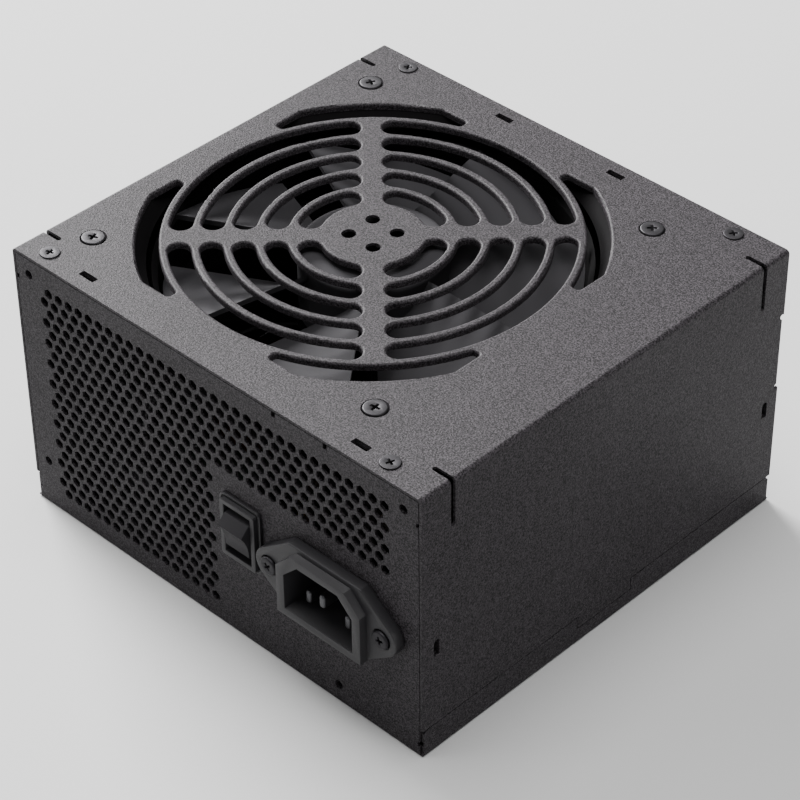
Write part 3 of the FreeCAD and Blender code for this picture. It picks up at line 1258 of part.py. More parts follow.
# ---------------------------------------------------------------- mains leads
def mains_wiring():
    """Inner leads from the inlet to the switch, the board and earth."""
    tail = REAR - SHROUD_OUT + SOCKET_DEPTH + 10.0
    (lx, lz), (nx, nz), (ex, ez) = pin_places()
    switch_tail = REAR + SWITCH_DEPTH + TERMINAL_LENGTH
    low_z = SWITCH_Z - TERMINAL_DROP
    r = MAINS_LEAD_R
    gap = 0.05
    live = [V(lx, tail + gap, lz), V(lx, tail + 7, lz), V(lx - 8, tail + 11, lz + 3),
            V(SWITCH_X + 6, tail + 10, SWITCH_Z + 1), V(SWITCH_X, switch_tail + 8, SWITCH_Z),
            V(SWITCH_X, switch_tail + gap, SWITCH_Z)]
    switched = [V(SWITCH_X, switch_tail + gap, low_z), V(SWITCH_X, switch_tail + 5, low_z),
                V(SWITCH_X - 5, switch_tail + 9, low_z - 4.5),
                V(SWITCH_X - 6, switch_tail + 9, low_z - 14.5),
                V(SWITCH_X - 6, switch_tail + 9, BOARD_TOP)]
    drop_x = BOARD_HALF_X - 2.0
    neutral = [V(nx, tail + gap, nz), V(nx, tail + 6, nz), V(nx + 8, tail + 8, nz - 5),
               V(drop_x, tail + 4, nz - 12), V(drop_x, tail + 4, BOARD_TOP)]
    lug_x, lug_y = LUG_POST
    earth = [V(ex, tail + gap, ez), V(ex, tail + 9, ez), V(ex + 12, tail + 11, ez + 4),
             V(lug_x, tail + 5, ez + 2), V(lug_x, lug_y + 7, ez - 8), V(lug_x, lug_y + 5.3, BOARD_TOP + 7),
             V(lug_x, lug_y + 5.3, BOARD_TOP + LUG_THICK)]
    save("mains_leads", lead(live, r), lead(switched, r), lead(neutral, r))
    save("earth_lead", lead(earth, r))
    lug = ring(lug_x, lug_y, BOARD_TOP, 3.8, SCREW_HOLE_R, LUG_THICK)
    tongue = block(lug_x, lug_y + 5, BOARD_TOP, 3.6, 4.5, LUG_THICK)
    save("earth_lug", fuse_all([lug, tongue]))


# ---------------------------------------------------------------- build
save("base_tray", base_tray())
save("cover_shell", cover_shell())
save("cover_screws", *cover_fasteners())
save("fan_screws", *fan_fasteners())
save("cable_grommet", cable_grommet())
save("fan_frame", fan_frame())
save("fan_rotor", fan_rotor())
fan_motor()
fan_wiring()
save("switch_housing", switch_housing())
save("switch_rocker", switch_rocker())
switch_inside()
save("inlet_housing", inlet_housing())
pins = pin_places()
save("inlet_line_pins", inlet_pin(*pins[0], 3.4), inlet_pin(*pins[1], 3.4))
save("inlet_earth_pin", inlet_pin(*pins[2], 1.4))
inlet_fasteners()
board_mounting()
cooled_parts()
transformer("transformer", TRANSFORMER_X, 14.0, 5.6, 34.0)
transformer("standby", TRANSFORMER_X, 46.0, 3.4, 22.0)
chokes()
capacitors()
fuse_group()
rectifier_and_control()
mains_wiring()
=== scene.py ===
import json
import math

import bmesh
import bpy
from bpy.props import FloatProperty, FloatVectorProperty, PointerProperty
from mathutils import Matrix, Vector


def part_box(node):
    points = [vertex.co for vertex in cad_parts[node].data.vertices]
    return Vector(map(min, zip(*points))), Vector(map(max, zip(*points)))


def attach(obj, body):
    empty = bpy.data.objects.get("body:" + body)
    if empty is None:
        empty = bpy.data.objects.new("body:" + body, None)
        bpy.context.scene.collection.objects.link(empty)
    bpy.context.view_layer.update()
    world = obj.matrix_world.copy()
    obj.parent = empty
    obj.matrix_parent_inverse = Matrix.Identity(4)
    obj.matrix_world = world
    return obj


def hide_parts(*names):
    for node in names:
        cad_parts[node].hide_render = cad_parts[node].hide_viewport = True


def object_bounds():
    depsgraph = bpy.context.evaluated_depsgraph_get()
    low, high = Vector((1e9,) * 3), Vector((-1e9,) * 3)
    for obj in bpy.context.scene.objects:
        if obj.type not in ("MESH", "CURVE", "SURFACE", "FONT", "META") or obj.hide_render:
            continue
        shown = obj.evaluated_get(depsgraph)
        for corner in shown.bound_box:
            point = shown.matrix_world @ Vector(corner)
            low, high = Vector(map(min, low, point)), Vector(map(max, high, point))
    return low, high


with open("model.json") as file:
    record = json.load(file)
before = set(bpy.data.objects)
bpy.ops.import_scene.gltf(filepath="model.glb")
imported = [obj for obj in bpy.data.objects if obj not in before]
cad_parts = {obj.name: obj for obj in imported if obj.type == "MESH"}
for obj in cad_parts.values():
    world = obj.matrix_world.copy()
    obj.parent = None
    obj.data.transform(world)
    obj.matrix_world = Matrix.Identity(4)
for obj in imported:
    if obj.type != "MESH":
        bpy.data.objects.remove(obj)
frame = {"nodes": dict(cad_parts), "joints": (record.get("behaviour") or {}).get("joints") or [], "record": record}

bl_info = {
    "name": "Desktop power supply unit",
    "version": (1, 0, 0),
    "blender": (4, 5, 0),
    "location": "View3D > Sidebar > Power supply",
    "description": "Finishes and detail pieces for a boxed desktop power supply",
    "category": "Object",
}

MM = 0.001
CAD_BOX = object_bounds()


# ------------------------------------------------------------------ colours and nodes
def linear(hex_colour):
    """Linear RGBA of an sRGB hex colour."""
    channels = [int(hex_colour[i:i + 2], 16) / 255 for i in (1, 3, 5)]
    return tuple(c / 12.92 if c <= 0.04045 else ((c + 0.055) / 1.055) ** 2.4
                 for c in channels) + (1.0,)


def shade(colour, factor):
    """A colour made darker or lighter, with its alpha kept."""
    return tuple(c * factor for c in colour[:3]) + (1.0,)


def new_material(name):
    """A material with its node tree, shader and Object coordinates."""
    material = bpy.data.materials.new(name)
    material.use_nodes = True
    tree = material.node_tree
    place = add_node(tree, "ShaderNodeTexCoord").outputs["Object"]
    return material, tree, tree.nodes["Principled BSDF"], place


def add_node(tree, kind, inputs=None, feeds=(), **settings):
    """Add a node: its settings, its inputs (values or sockets), and the sockets it feeds."""
    node = tree.nodes.new(kind)
    for key, value in settings.items():
        setattr(node, key, value)
    for key, value in (inputs or {}).items():
        if isinstance(value, bpy.types.NodeSocket):
            tree.links.new(value, node.inputs[key])
        else:
            node.inputs[key].default_value = value
    for output, target in feeds:
        tree.links.new(node.outputs[output], target)
    return node


# ------------------------------------------------------------------ user settings
def length(name, description, millimetres):
    """A size property with its default in millimetres."""
    return FloatProperty(name=name, description=description, default=millimetres * MM,
                         min=0.0, unit="LENGTH", precision=5)


def angle(name, description, degrees):
    """An angle property with its default in degrees."""
    return FloatProperty(name=name, description=description, default=math.radians(degrees),
                         unit="ROTATION")


def colour(name, description, hex_colour):
    """A colour property with its default as sRGB hex."""
    return FloatVectorProperty(name=name, description=description, subtype="COLOR", size=4,
                               min=0.0, max=1.0, default=linear(hex_colour))


class PsuSizes(bpy.types.PropertyGroup):
    """Sizes of the detail pieces."""
    fan_screw: length("Fan screw head", "Diameter of the pan heads that hang the fan", 6.6)
    cover_screw: length("Cover screw head", "Diameter of the low heads that hold the cover", 5.5)
    inlet_screw: length("Inlet screw head", "Diameter of the countersunk heads of the mains inlet", 5.6)
    recess: FloatProperty(name="Screw recess", description="Span of the cross recess over the head's diameter",
                          default=0.6, min=0.2, max=0.9)
    rocker_width: length("Rocker width", "Width of the switch rocker", 8.8)
    rocker_height: length("Rocker height", "Height of the switch rocker", 11.8)
    rocker_crest: length("Rocker crest", "Height of the rocker's two crests above its pivot", 3.6)
    rocker_taper: FloatProperty(name="Rocker taper", description="Distance between the crests over the height",
                                default=0.7, min=0.3, max=1.0)
    rocker_dish: length("Rocker dish", "Radius of the hollow between the crests", 12.0)
    rocker_tilt: angle("Rocker tilt", "Tilt of the rocker at rest, top end outwards", 17.0)
    bezel_width: length("Bezel width", "Width of the switch bezel", 15.0)
    bezel_height: length("Bezel height", "Height of the switch bezel", 21.0)
    bezel_out: length("Bezel stand-out", "How far the switch bezel stands off the panel", 2.2)
    bezel_corner: length("Bezel corner", "Corner radius of the switch bezel's foot", 2.0)
    bezel_lip: length("Bezel lip", "Width of the flat foot outside the groove", 0.7)
    bezel_groove: length("Bezel groove", "Width and depth of the groove inside the foot", 0.4)
    bezel_gap: length("Bezel gap", "Space round the rocker in the bezel's window", 0.5)
    shroud_width: length("Shroud width", "Width of the raised rim round the mains socket", 30.0)
    shroud_height: length("Shroud height", "Height of the raised rim round the mains socket", 21.0)
    shroud_out: length("Shroud stand-out", "How far that rim stands off the panel", 5.8)
    socket_width: length("Socket width", "Width of the pin socket", 24.4)
    socket_height: length("Socket height", "Height of the pin socket", 16.4)
    socket_depth: length("Socket depth", "Depth of the pin socket", 17.5)
    pin_thickness: length("Pin thickness", "Thickness of the mains pins", 2.0)
    pin_height: length("Pin height", "Height of the mains pins", 4.0)


class PsuColours(bpy.types.PropertyGroup):
    """Colours of the finishes that show."""
    coat: colour("Powder coat", "Baked powder on the tray and the cover", "#1d1b1d")
    screw: colour("Screws", "Black zinc on the screws that show", "#2d2c2e")
    nylon: colour("Inlet and bezel", "Moulded nylon of the mains inlet and the switch bezel", "#1e1d1f")
    rocker: colour("Rocker", "Moulded rocker of the switch", "#252426")
    blade: colour("Fan wheel", "Moulded hub and blades", "#2f2e30")
    frame: colour("Fan frame", "Moulded square frame of the fan", "#0c0b0c")
    pin: colour("Inlet pins", "Dull nickel on the pins of the mains inlet", "#4a4a4c")
    floor: colour("Floor", "Matt studio floor", "#acacac")


class PsuStage(bpy.types.PropertyGroup):
    """Camera and light."""
    azimuth: angle("Azimuth", "Direction of the camera round the object", 44.526)
    elevation: angle("Elevation", "Height of the camera above the horizon", 38.558)
    roll: angle("Roll", "Turn of the camera about its own axis", -0.615)
    distance: length("Distance", "From the camera to the point it looks at", 787.9)
    lens: FloatProperty(name="Lens", description="Focal length of the camera",
                        default=131.2, min=10.0, unit="CAMERA")
    light: FloatProperty(name="Light", description="Strength of all lamps together",
                         default=1.0, min=0.0)


# ------------------------------------------------------------------ modelling by hand
def select_only(piece):
    """Deselect everything else and make the piece active."""
    bpy.ops.object.select_all(action="DESELECT")
    piece.select_set(True)
    bpy.context.view_layer.objects.active = piece


def start(name, primitive, **settings):
    """Add a primitive at its size and place and give it a name; its mesh holds its place."""
    bpy.ops.object.select_all(action="DESELECT")
    primitive(**settings)
    piece = bpy.context.active_object
    piece.name = name
    piece.data.name = name
    settle(piece)
    return piece


def start_block(name, x, y, z):
    """Start from a cube stretched between limits on each axis."""
    limits = (x, y, z)
    return start(name, bpy.ops.mesh.primitive_cube_add, size=1.0,
                 location=[(a + b) / 2 for a, b in limits], scale=[abs(b - a) for a, b in limits])


def start_disc(name, radius, z, sides=64):
    """Start from an upright cylinder between two heights."""
    return start(name, bpy.ops.mesh.primitive_cylinder_add, vertices=sides, radius=radius,
                 depth=z[1] - z[0], location=(0.0, 0.0, (z[0] + z[1]) / 2))


def settle(piece):
    """Put the piece's place, turn and scale into its mesh."""
    select_only(piece)
    bpy.ops.object.transform_apply(location=True, rotation=True, scale=True)


def place(piece, location, turn=(0.0, 0.0, 0.0)):
    """Turn a piece about the origin, move it, and settle it."""
    piece.rotation_euler = turn
    piece.location = location
    settle(piece)


def edit(piece):
    """Open the piece in edit mode with nothing selected."""
    select_only(piece)
    bpy.ops.object.mode_set(mode="EDIT")
    bpy.ops.mesh.select_all(action="DESELECT")


def leave():
    """Back to object mode."""
    bpy.ops.object.mode_set(mode="OBJECT")


def pick_faces(piece, test):
    """Select only the faces whose centre and normal pass a test."""
    bpy.ops.mesh.select_mode(type="FACE")
    bpy.ops.mesh.select_all(action="DESELECT")
    mesh = bmesh.from_edit_mesh(piece.data)
    for face in mesh.faces:
        face.select_set(bool(test(face.calc_center_median(), face.normal)))
    mesh.select_flush_mode()
    bmesh.update_edit_mesh(piece.data)


def pick_edges(piece, test):
    """Select only the edges whose two ends pass a test."""
    bpy.ops.mesh.select_mode(type="EDGE")
    bpy.ops.mesh.select_all(action="DESELECT")
    mesh = bmesh.from_edit_mesh(piece.data)
    for line in mesh.edges:
        line.select_set(bool(test(line.verts[0].co, line.verts[1].co)))
    mesh.select_flush_mode()
    bmesh.update_edit_mesh(piece.data)


def push(x=0.0, y=0.0, z=0.0):
    """Extrude the picked faces by a distance."""
    bpy.ops.mesh.extrude_region_move(TRANSFORM_OT_translate={"value": (x, y, z)})


def apply_modifiers(piece):
    """Apply the piece's modifiers in order."""
    select_only(piece)
    for modifier in list(piece.modifiers):
        bpy.ops.object.modifier_apply(modifier=modifier.name)


def join_solid(piece, other, operation):
    """Unite another solid with the piece, or cut it away, and remove it."""
    step = piece.modifiers.new("solid", "BOOLEAN")
    step.operation = operation
    step.solver = "EXACT"
    step.object = other
    apply_modifiers(piece)
    bpy.data.objects.remove(other)


def soften(piece, width, rounds=3, sharp=28.0):
    """Round the piece's sharp edges a little, and shade it smooth between them."""
    select_only(piece)
    bpy.ops.object.mode_set(mode="EDIT")
    bpy.ops.mesh.select_all(action="SELECT")
    bpy.ops.mesh.remove_doubles(threshold=0.002 * MM)
    bpy.ops.mesh.dissolve_limited(angle_limit=math.radians(0.5))
    bpy.ops.mesh.normals_make_consistent(inside=False)
    bpy.ops.object.mode_set(mode="OBJECT")
    step = piece.modifiers.new("edges", "BEVEL")
    step.width = width
    step.segments = rounds
    step.limit_method = "ANGLE"
    step.angle_limit = math.radians(sharp)
    step.use_clamp_overlap = True
    step.harden_normals = False
    apply_modifiers(piece)
    bpy.ops.object.shade_smooth_by_angle(angle=math.radians(35.0))


def finish_piece(piece, material, body, slot, *nodes):
    """Give a piece its material and its body, and hide the CAD nodes it stands for."""
    piece.data.materials.clear()
    piece.data.materials.append(material)
    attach(piece, body)
    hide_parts(*nodes)


def finish_nodes(slot, material):
    """Give every CAD node of one record slot its material."""
    for part in frame["record"]["subparts"]:
        if part["material_slot"] == slot:
            mesh = frame["nodes"][part["node"]].data
            mesh.materials.clear()
            mesh.materials.append(material)


def centre_of(node):
    """Middle of a CAD node's box."""
    low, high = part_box(node)
    return (low + high) / 2


def loose_centres(node, axes=(0, 1)):
    """Centres of a CAD node's loose pieces, one in each quarter of its box."""
    middle = centre_of(node)
    quarters = {}
    for vertex in frame["nodes"][node].data.vertices:
        key = tuple(vertex.co[a] > middle[a] for a in axes)
        quarters.setdefault(key, []).append(vertex.co)
    centres = []
    for key in sorted(quarters):
        points = quarters[key]
        centres.append(Vector([(min(p[a] for p in points) + max(p[a] for p in points)) / 2
                               for a in range(3)]))
    return centres


# ------------------------------------------------------------------ finishes
def powder_coated_steel():
    """Baked polyester powder on steel sheet: grains under half a millimetre break its sheen up, and painted glints
    on the grains' peaks lighten its colour.
    """
    coat = bpy.context.scene.psu_colours.coat
    material, tree, shader, place = new_material("powder coated steel")
    grain = add_node(tree, "ShaderNodeTexNoise", {
        "Vector": place, "Scale": 1 / (0.42 * MM), "Detail": 2.0, "Roughness": 0.7})
    cloud = add_node(tree, "ShaderNodeTexNoise", {
        "Vector": place, "Scale": 1 / (45 * MM), "Detail": 2.0})
    painted_glint = add_node(tree, "ShaderNodeMapRange", {
        "Value": grain.outputs["Fac"], "From Min": 0.4, "From Max": 0.68})
    # Painted glints: grain peaks are lightened to 4.2 times the coat's tone and the rest darkened to 0.3 times,
    # standing in for light the grains catch.
    add_node(tree, "ShaderNodeMix", {
        0: painted_glint.outputs["Result"], 6: shade(coat, 0.3), 7: shade(coat, 4.2)},
        feeds=[(2, shader.inputs["Base Color"])], data_type="RGBA")
    add_node(tree, "ShaderNodeMapRange", {
        "Value": cloud.outputs["Fac"], "From Min": 0.3, "From Max": 0.7,
        "To Min": 0.50, "To Max": 0.56},
        feeds=[("Result", shader.inputs["Roughness"])])
    add_node(tree, "ShaderNodeBump", {
        "Height": grain.outputs["Fac"], "Strength": 1.0, "Distance": 0.12 * MM},
        feeds=[("Normal", shader.inputs["Normal"])])
    shader.inputs["Specular IOR Level"].default_value = 0.11
    return material


def plated_steel(name, tone, roughness, grain=0.3):
    """Plated steel hardware: a thin even skin with fine tumbling marks, dull bright."""
    material, tree, shader, place = new_material(name)
    marks = add_node(tree, "ShaderNodeTexNoise", {
        "Vector": place, "Scale": 1 / (grain * MM), "Detail": 3.0})
    add_node(tree, "ShaderNodeMix", {0: marks.outputs["Fac"], 6: shade(tone, 0.8), 7: shade(tone, 1.2)},
             feeds=[(2, shader.inputs["Base Color"])], data_type="RGBA")
    add_node(tree, "ShaderNodeMapRange", {
        "Value": marks.outputs["Fac"], "From Min": 0.3, "From Max": 0.7,
        "To Min": roughness - 0.06, "To Max": roughness + 0.08},
        feeds=[("Result", shader.inputs["Roughness"])])
    add_node(tree, "ShaderNodeBump", {
        "Height": marks.outputs["Fac"], "Strength": 0.3, "Distance": 0.01 * MM},
        feeds=[("Normal", shader.inputs["Normal"])])
    shader.inputs["Metallic"].default_value = 1.0
    return material


def moulded_plastic(name, tone, roughness, grain=0.3, depth=0.02, gleam=0.35):
    """Injection-moulded plastic: the tool's eroded grain dulls it, and its flow clouds it faintly."""
    material, tree, shader, place = new_material(name)
    texture = add_node(tree, "ShaderNodeTexNoise", {
        "Vector": place, "Scale": 1 / (grain * MM), "Detail": 2.0})
    flow = add_node(tree, "ShaderNodeTexNoise", {
        "Vector": place, "Scale": 1 / (14 * MM), "Detail": 1.0})
    add_node(tree, "ShaderNodeMix", {0: flow.outputs["Fac"], 6: shade(tone, 0.88), 7: shade(tone, 1.12)},
             feeds=[(2, shader.inputs["Base Color"])], data_type="RGBA")
    add_node(tree, "ShaderNodeMapRange", {
        "Value": texture.outputs["Fac"], "From Min": 0.3, "From Max": 0.7,
        "To Min": roughness - 0.04, "To Max": roughness + 0.05},
        feeds=[("Result", shader.inputs["Roughness"])])
    add_node(tree, "ShaderNodeBump", {
        "Height": texture.outputs["Fac"], "Strength": 0.35, "Distance": depth * MM},
        feeds=[("Normal", shader.inputs["Normal"])])
    shader.inputs["Specular IOR Level"].default_value = gleam
    return material


def wound_wire(name, tone, centre, axis, turns=0, pitch=0.7):
    """Enamelled wire, turn beside turn: round a ring core at even angles, or up a bobbin by pitch."""
    material, tree, shader, place = new_material(name)
    offset = add_node(tree, "ShaderNodeVectorMath", {0: place, 1: tuple(centre)}, operation="SUBTRACT")
    parts = add_node(tree, "ShaderNodeSeparateXYZ", {0: offset.outputs[0]})
    along = parts.outputs[axis]
    rate = 2 * math.pi / (pitch * MM)
    if turns:
        first, second = [o for o in range(3) if o != axis]
        along = add_node(tree, "ShaderNodeMath", {
            0: parts.outputs[first], 1: parts.outputs[second]}, operation="ARCTAN2").outputs[0]
        rate = turns
    phase = add_node(tree, "ShaderNodeMath", {0: along, 1: rate}, operation="MULTIPLY")
    wave = add_node(tree, "ShaderNodeMath", {0: phase.outputs[0]}, operation="COSINE")
    crown = add_node(tree, "ShaderNodeMapRange", {
        "Value": wave.outputs[0], "From Min": -1.0, "From Max": 0.4})
    # Painted shade: the grooves between the turns are darkened to 0.08 of the wire's tone.
    add_node(tree, "ShaderNodeMix", {0: crown.outputs["Result"], 6: shade(tone, 0.08), 7: tone},
             feeds=[(2, shader.inputs["Base Color"])], data_type="RGBA")
    add_node(tree, "ShaderNodeBump", {
        "Height": crown.outputs["Result"], "Strength": 0.9, "Distance": 0.25 * MM},
        feeds=[("Normal", shader.inputs["Normal"])])
    shader.inputs["Metallic"].default_value = 0.6
    shader.inputs["Roughness"].default_value = 0.35
    return material


def solder_mask(name, tone):
    """Lacquered board: faint raised copper tracks, tinned dots of vias, and weave below."""
    material, tree, shader, place = new_material(name)
    tracks = add_node(tree, "ShaderNodeTexBrick", {
        "Vector": place, "Scale": 1.0, "Mortar Size": 0.35 * MM, "Mortar Smooth": 0.2,
        "Brick Width": 9.0 * MM, "Row Height": 2.6 * MM,
        "Color1": shade(tone, 1.0), "Color2": shade(tone, 1.5), "Mortar": shade(tone, 0.35)})
    vias = add_node(tree, "ShaderNodeTexVoronoi", {"Vector": place, "Scale": 1 / (5.2 * MM)})
    dot = add_node(tree, "ShaderNodeMath", {0: vias.outputs["Distance"], 1: 0.11}, operation="LESS_THAN")
    add_node(tree, "ShaderNodeMix", {0: dot.outputs[0], 6: tracks.outputs["Color"], 7: linear("#77797a")},
             feeds=[(2, shader.inputs["Base Color"])], data_type="RGBA")
    add_node(tree, "ShaderNodeBump", {
        "Height": tracks.outputs["Fac"], "Strength": 0.6, "Distance": -0.06 * MM},
        feeds=[("Normal", shader.inputs["Normal"])])
    shader.inputs["Roughness"].default_value = 0.34
    return material


def taped_winding(name, tone):
    """Polyester tape lapped over a winding: a low step and a change of gloss at every lap."""
    material, tree, shader, place = new_material(name)
    laps = add_node(tree, "ShaderNodeTexWave", {
        "Vector": place, "Scale": 1 / (20 * 2.4 * MM), "Distortion": 1.2, "Detail": 1.0},
        bands_direction="Z", wave_profile="SAW")
    add_node(tree, "ShaderNodeMix", {0: laps.outputs["Fac"], 6: shade(tone, 0.7), 7: shade(tone, 1.4)},
             feeds=[(2, shader.inputs["Base Color"])], data_type="RGBA")
    add_node(tree, "ShaderNodeMapRange", {"Value": laps.outputs["Fac"], "To Min": 0.22, "To Max": 0.38},
             feeds=[("Result", shader.inputs["Roughness"])])
    add_node(tree, "ShaderNodeBump", {
        "Height": laps.outputs["Fac"], "Strength": 0.5, "Distance": 0.1 * MM},
        feeds=[("Normal", shader.inputs["Normal"])])
    return material


def striped_sleeve(name, tone, stripe, width):
    """Earth wire sleeve: two colours of PVC run side by side along it."""
    material, tree, shader, place = new_material(name)
    bands = add_node(tree, "ShaderNodeTexWave", {
        "Vector": place, "Scale": 1 / (20 * width * MM), "Distortion": 0.0}, bands_direction="DIAGONAL")
    side = add_node(tree, "ShaderNodeMath", {0: bands.outputs["Fac"], 1: 0.55}, operation="GREATER_THAN")
    add_node(tree, "ShaderNodeMix", {0: side.outputs[0], 6: tone, 7: stripe},
             feeds=[(2, shader.inputs["Base Color"])], data_type="RGBA")
    shader.inputs["Roughness"].default_value = 0.4
    return material


def clear_glass_tube(name):
    """Fuse glass: clear, with the faint draw lines of the tube in its gloss."""
    material, tree, shader, place = new_material(name)
    lines = add_node(tree, "ShaderNodeTexNoise", {"Vector": place, "Scale": 1 / (1.5 * MM)})
    add_node(tree, "ShaderNodeMapRange", {"Value": lines.outputs["Fac"], "To Min": 0.02, "To Max": 0.1},
             feeds=[("Result", shader.inputs["Roughness"])])
    shader.inputs["Base Color"].default_value = linear("#e6efec")
    shader.inputs["Transmission Weight"].default_value = 0.85
    shader.inputs["IOR"].default_value = 1.5
    return material


def extruded_aluminium(name, tone):
    """Anodised extrusion: die lines drawn out along its length catch the light as fine streaks."""
    material, tree, shader, place = new_material(name)
    drawn = add_node(tree, "ShaderNodeMapping", {
        "Vector": place, "Scale": (1 / (0.25 * MM), 1 / (30 * MM), 1 / (0.25 * MM))})
    streaks = add_node(tree, "ShaderNodeTexNoise", {"Vector": drawn.outputs[0], "Scale": 1.0, "Detail": 3.0})
    add_node(tree, "ShaderNodeMix", {0: streaks.outputs["Fac"], 6: shade(tone, 0.75), 7: shade(tone, 1.25)},
             feeds=[(2, shader.inputs["Base Color"])], data_type="RGBA")
    add_node(tree, "ShaderNodeBump", {
        "Height": streaks.outputs["Fac"], "Strength": 0.4, "Distance": 0.02 * MM},
        feeds=[("Normal", shader.inputs["Normal"])])
    shader.inputs["Metallic"].default_value = 1.0
    shader.inputs["Roughness"].default_value = 0.42
    return material


# ------------------------------------------------------------------ pieces
def phillips_screw(name, radius, height, crown, shank, reach, cone=0.0):
    """A screw at the origin, its head standing on z = 0 and its axis upwards."""
    screw = start_disc(name, radius, (0.0, height))
    edit(screw)
    pick_edges(screw, lambda a, b: min(a.z, b.z) > height - 0.01 * MM)
    bpy.ops.mesh.bevel(offset=crown, segments=6, affect="EDGES", clamp_overlap=True)
    pick_faces(screw, lambda c, n: n.z < -0.9)
    if cone:
        push(z=-cone)
        share = shank / radius
        bpy.ops.transform.resize(value=(share, share, 1.0), center_override=(0.0, 0.0, -cone))
    else:
        bpy.ops.mesh.inset(thickness=radius - shank)
    push(z=-reach)
    share = 0.6
    push(z=-shank * 0.4)
    bpy.ops.transform.resize(value=(share, share, 1.0), center_override=(0.0, 0.0, -cone - reach))
    leave()
    span = radius * bpy.context.scene.psu_sizes.recess
    wide = span * 0.44
    deep = max(height, 1.3 * MM)
    for turn in (0.0, math.pi / 2):
        wing = start_block("wing", (-span, span), (-wide / 2, wide / 2), (height - deep, height + MM))
        edit(wing)
        pick_faces(wing, lambda c, n: n.z < -0.9)
        bpy.ops.transform.resize(value=(0.4, 0.75, 1.0), center_override=(0.0, 0.0, height - deep))
        leave()
        place(wing, (0.0, 0.0, 0.0), (0.0, 0.0, turn))
        join_solid(screw, wing, "DIFFERENCE")
    soften(screw, 0.07 * MM, rounds=2)
    return screw


def set_screws(model, node, seats, tilt, material, body="case"):
    """Copy a screw onto each seat, every copy with its own mesh."""
    for number, (seat, turn) in enumerate(seats):
        select_only(model)
        bpy.ops.object.duplicate(linked=False)
        screw = bpy.context.active_object
        screw.name = "%s_%d" % (node, number + 1)
        screw.data.name = screw.name
        place(screw, (0.0, 0.0, 0.0), (0.0, 0.0, math.radians(turn)))
        place(screw, seat, (tilt, 0.0, 0.0))
        finish_piece(screw, material, body, "black_screw_steel", node)
    bpy.data.objects.remove(model)


class PSU_OT_stage(bpy.types.Operator):
    """Lay the floor, hang the lamps and set up the camera"""
    bl_idname = "psu.stage"
    bl_label = "Stage"

    def execute(self, context):
        stage = context.scene.psu_stage
        bpy.ops.object.select_all(action="DESELECT")
        bpy.ops.mesh.primitive_plane_add(size=8.0, location=(0.0, 0.0, CAD_BOX[0].z))
        floor = context.active_object
        floor.name = "studio_floor"
        material, tree, shader, spot = new_material("matt floor paint")
        paint = add_node(tree, "ShaderNodeTexNoise", {
            "Vector": spot, "Scale": 1 / (300 * MM), "Detail": 2.0})
        add_node(tree, "ShaderNodeMix", {
            0: paint.outputs["Fac"], 6: shade(context.scene.psu_colours.floor, 0.97),
            7: context.scene.psu_colours.floor},
            feeds=[(2, shader.inputs["Base Color"])], data_type="RGBA")
        shader.inputs["Roughness"].default_value = 0.9
        floor.data.materials.append(material)
        world = bpy.data.worlds.new("studio")
        world.use_nodes = True
        world.node_tree.nodes["Background"].inputs["Color"].default_value = linear("#ffffff")
        world.node_tree.nodes["Background"].inputs["Strength"].default_value = 0.40 * stage.light
        context.scene.world = world
        lamps = (
            ("sheen_softbox", (-1.85, 0.4, 1.1), 1.2, 240.0),
            ("top_softbox", (0.0, -0.1, 2.2), 1.6, 68.0),
            ("right_softbox", (1.9, 0.3, 0.9), 1.0, 12.0),
            ("rear_softbox", (-1.25, -1.5, 1.25), 0.8, 7.0),
        )
        aim = Vector((0.0, 0.0, 0.06))
        for name, spot, size, power in lamps:
            lamp = bpy.data.lights.new(name, "AREA")
            lamp.shape = "DISK"
            lamp.size = size
            lamp.energy = power * stage.light
            body = bpy.data.objects.new(name, lamp)
            context.scene.collection.objects.link(body)
            body.location = spot
            body.rotation_euler = (aim - Vector(spot)).to_track_quat("-Z", "Y").to_euler()
        self.set_camera(context, stage)
        return {"FINISHED"}

    def set_camera(self, context, stage):
        """Camera that looks at the middle of the box from its azimuth and elevation."""
        a, e, r = stage.azimuth, stage.elevation, stage.roll
        back = Vector((math.sin(a) * math.cos(e), -math.cos(a) * math.cos(e), math.sin(e)))
        right = Vector((math.cos(a), math.sin(a), 0.0))
        up = back.cross(right)
        right, up = right * math.cos(r) + up * math.sin(r), up * math.cos(r) - right * math.sin(r)
        aim = Vector((6.69, -7.40, 43.0)) * MM
        camera = bpy.data.objects.new("camera", bpy.data.cameras.new("camera"))
        context.scene.collection.objects.link(camera)
        camera.location = aim + back * stage.distance
        camera.rotation_euler = Matrix((right, up, back)).transposed().to_euler()
        camera.data.lens = stage.lens
        camera.data.sensor_width = 36.0
        camera.data.clip_start = 0.05
        camera.data.clip_end = 20.0
        context.scene.camera = camera


class PSU_OT_case(bpy.types.Operator):
    """Give the tray and the cover their baked powder finish"""
    bl_idname = "psu.case"
    bl_label = "Case"

    def execute(self, context):
        finish_nodes("powder_coated_steel", powder_coated_steel())
        return {"FINISHED"}


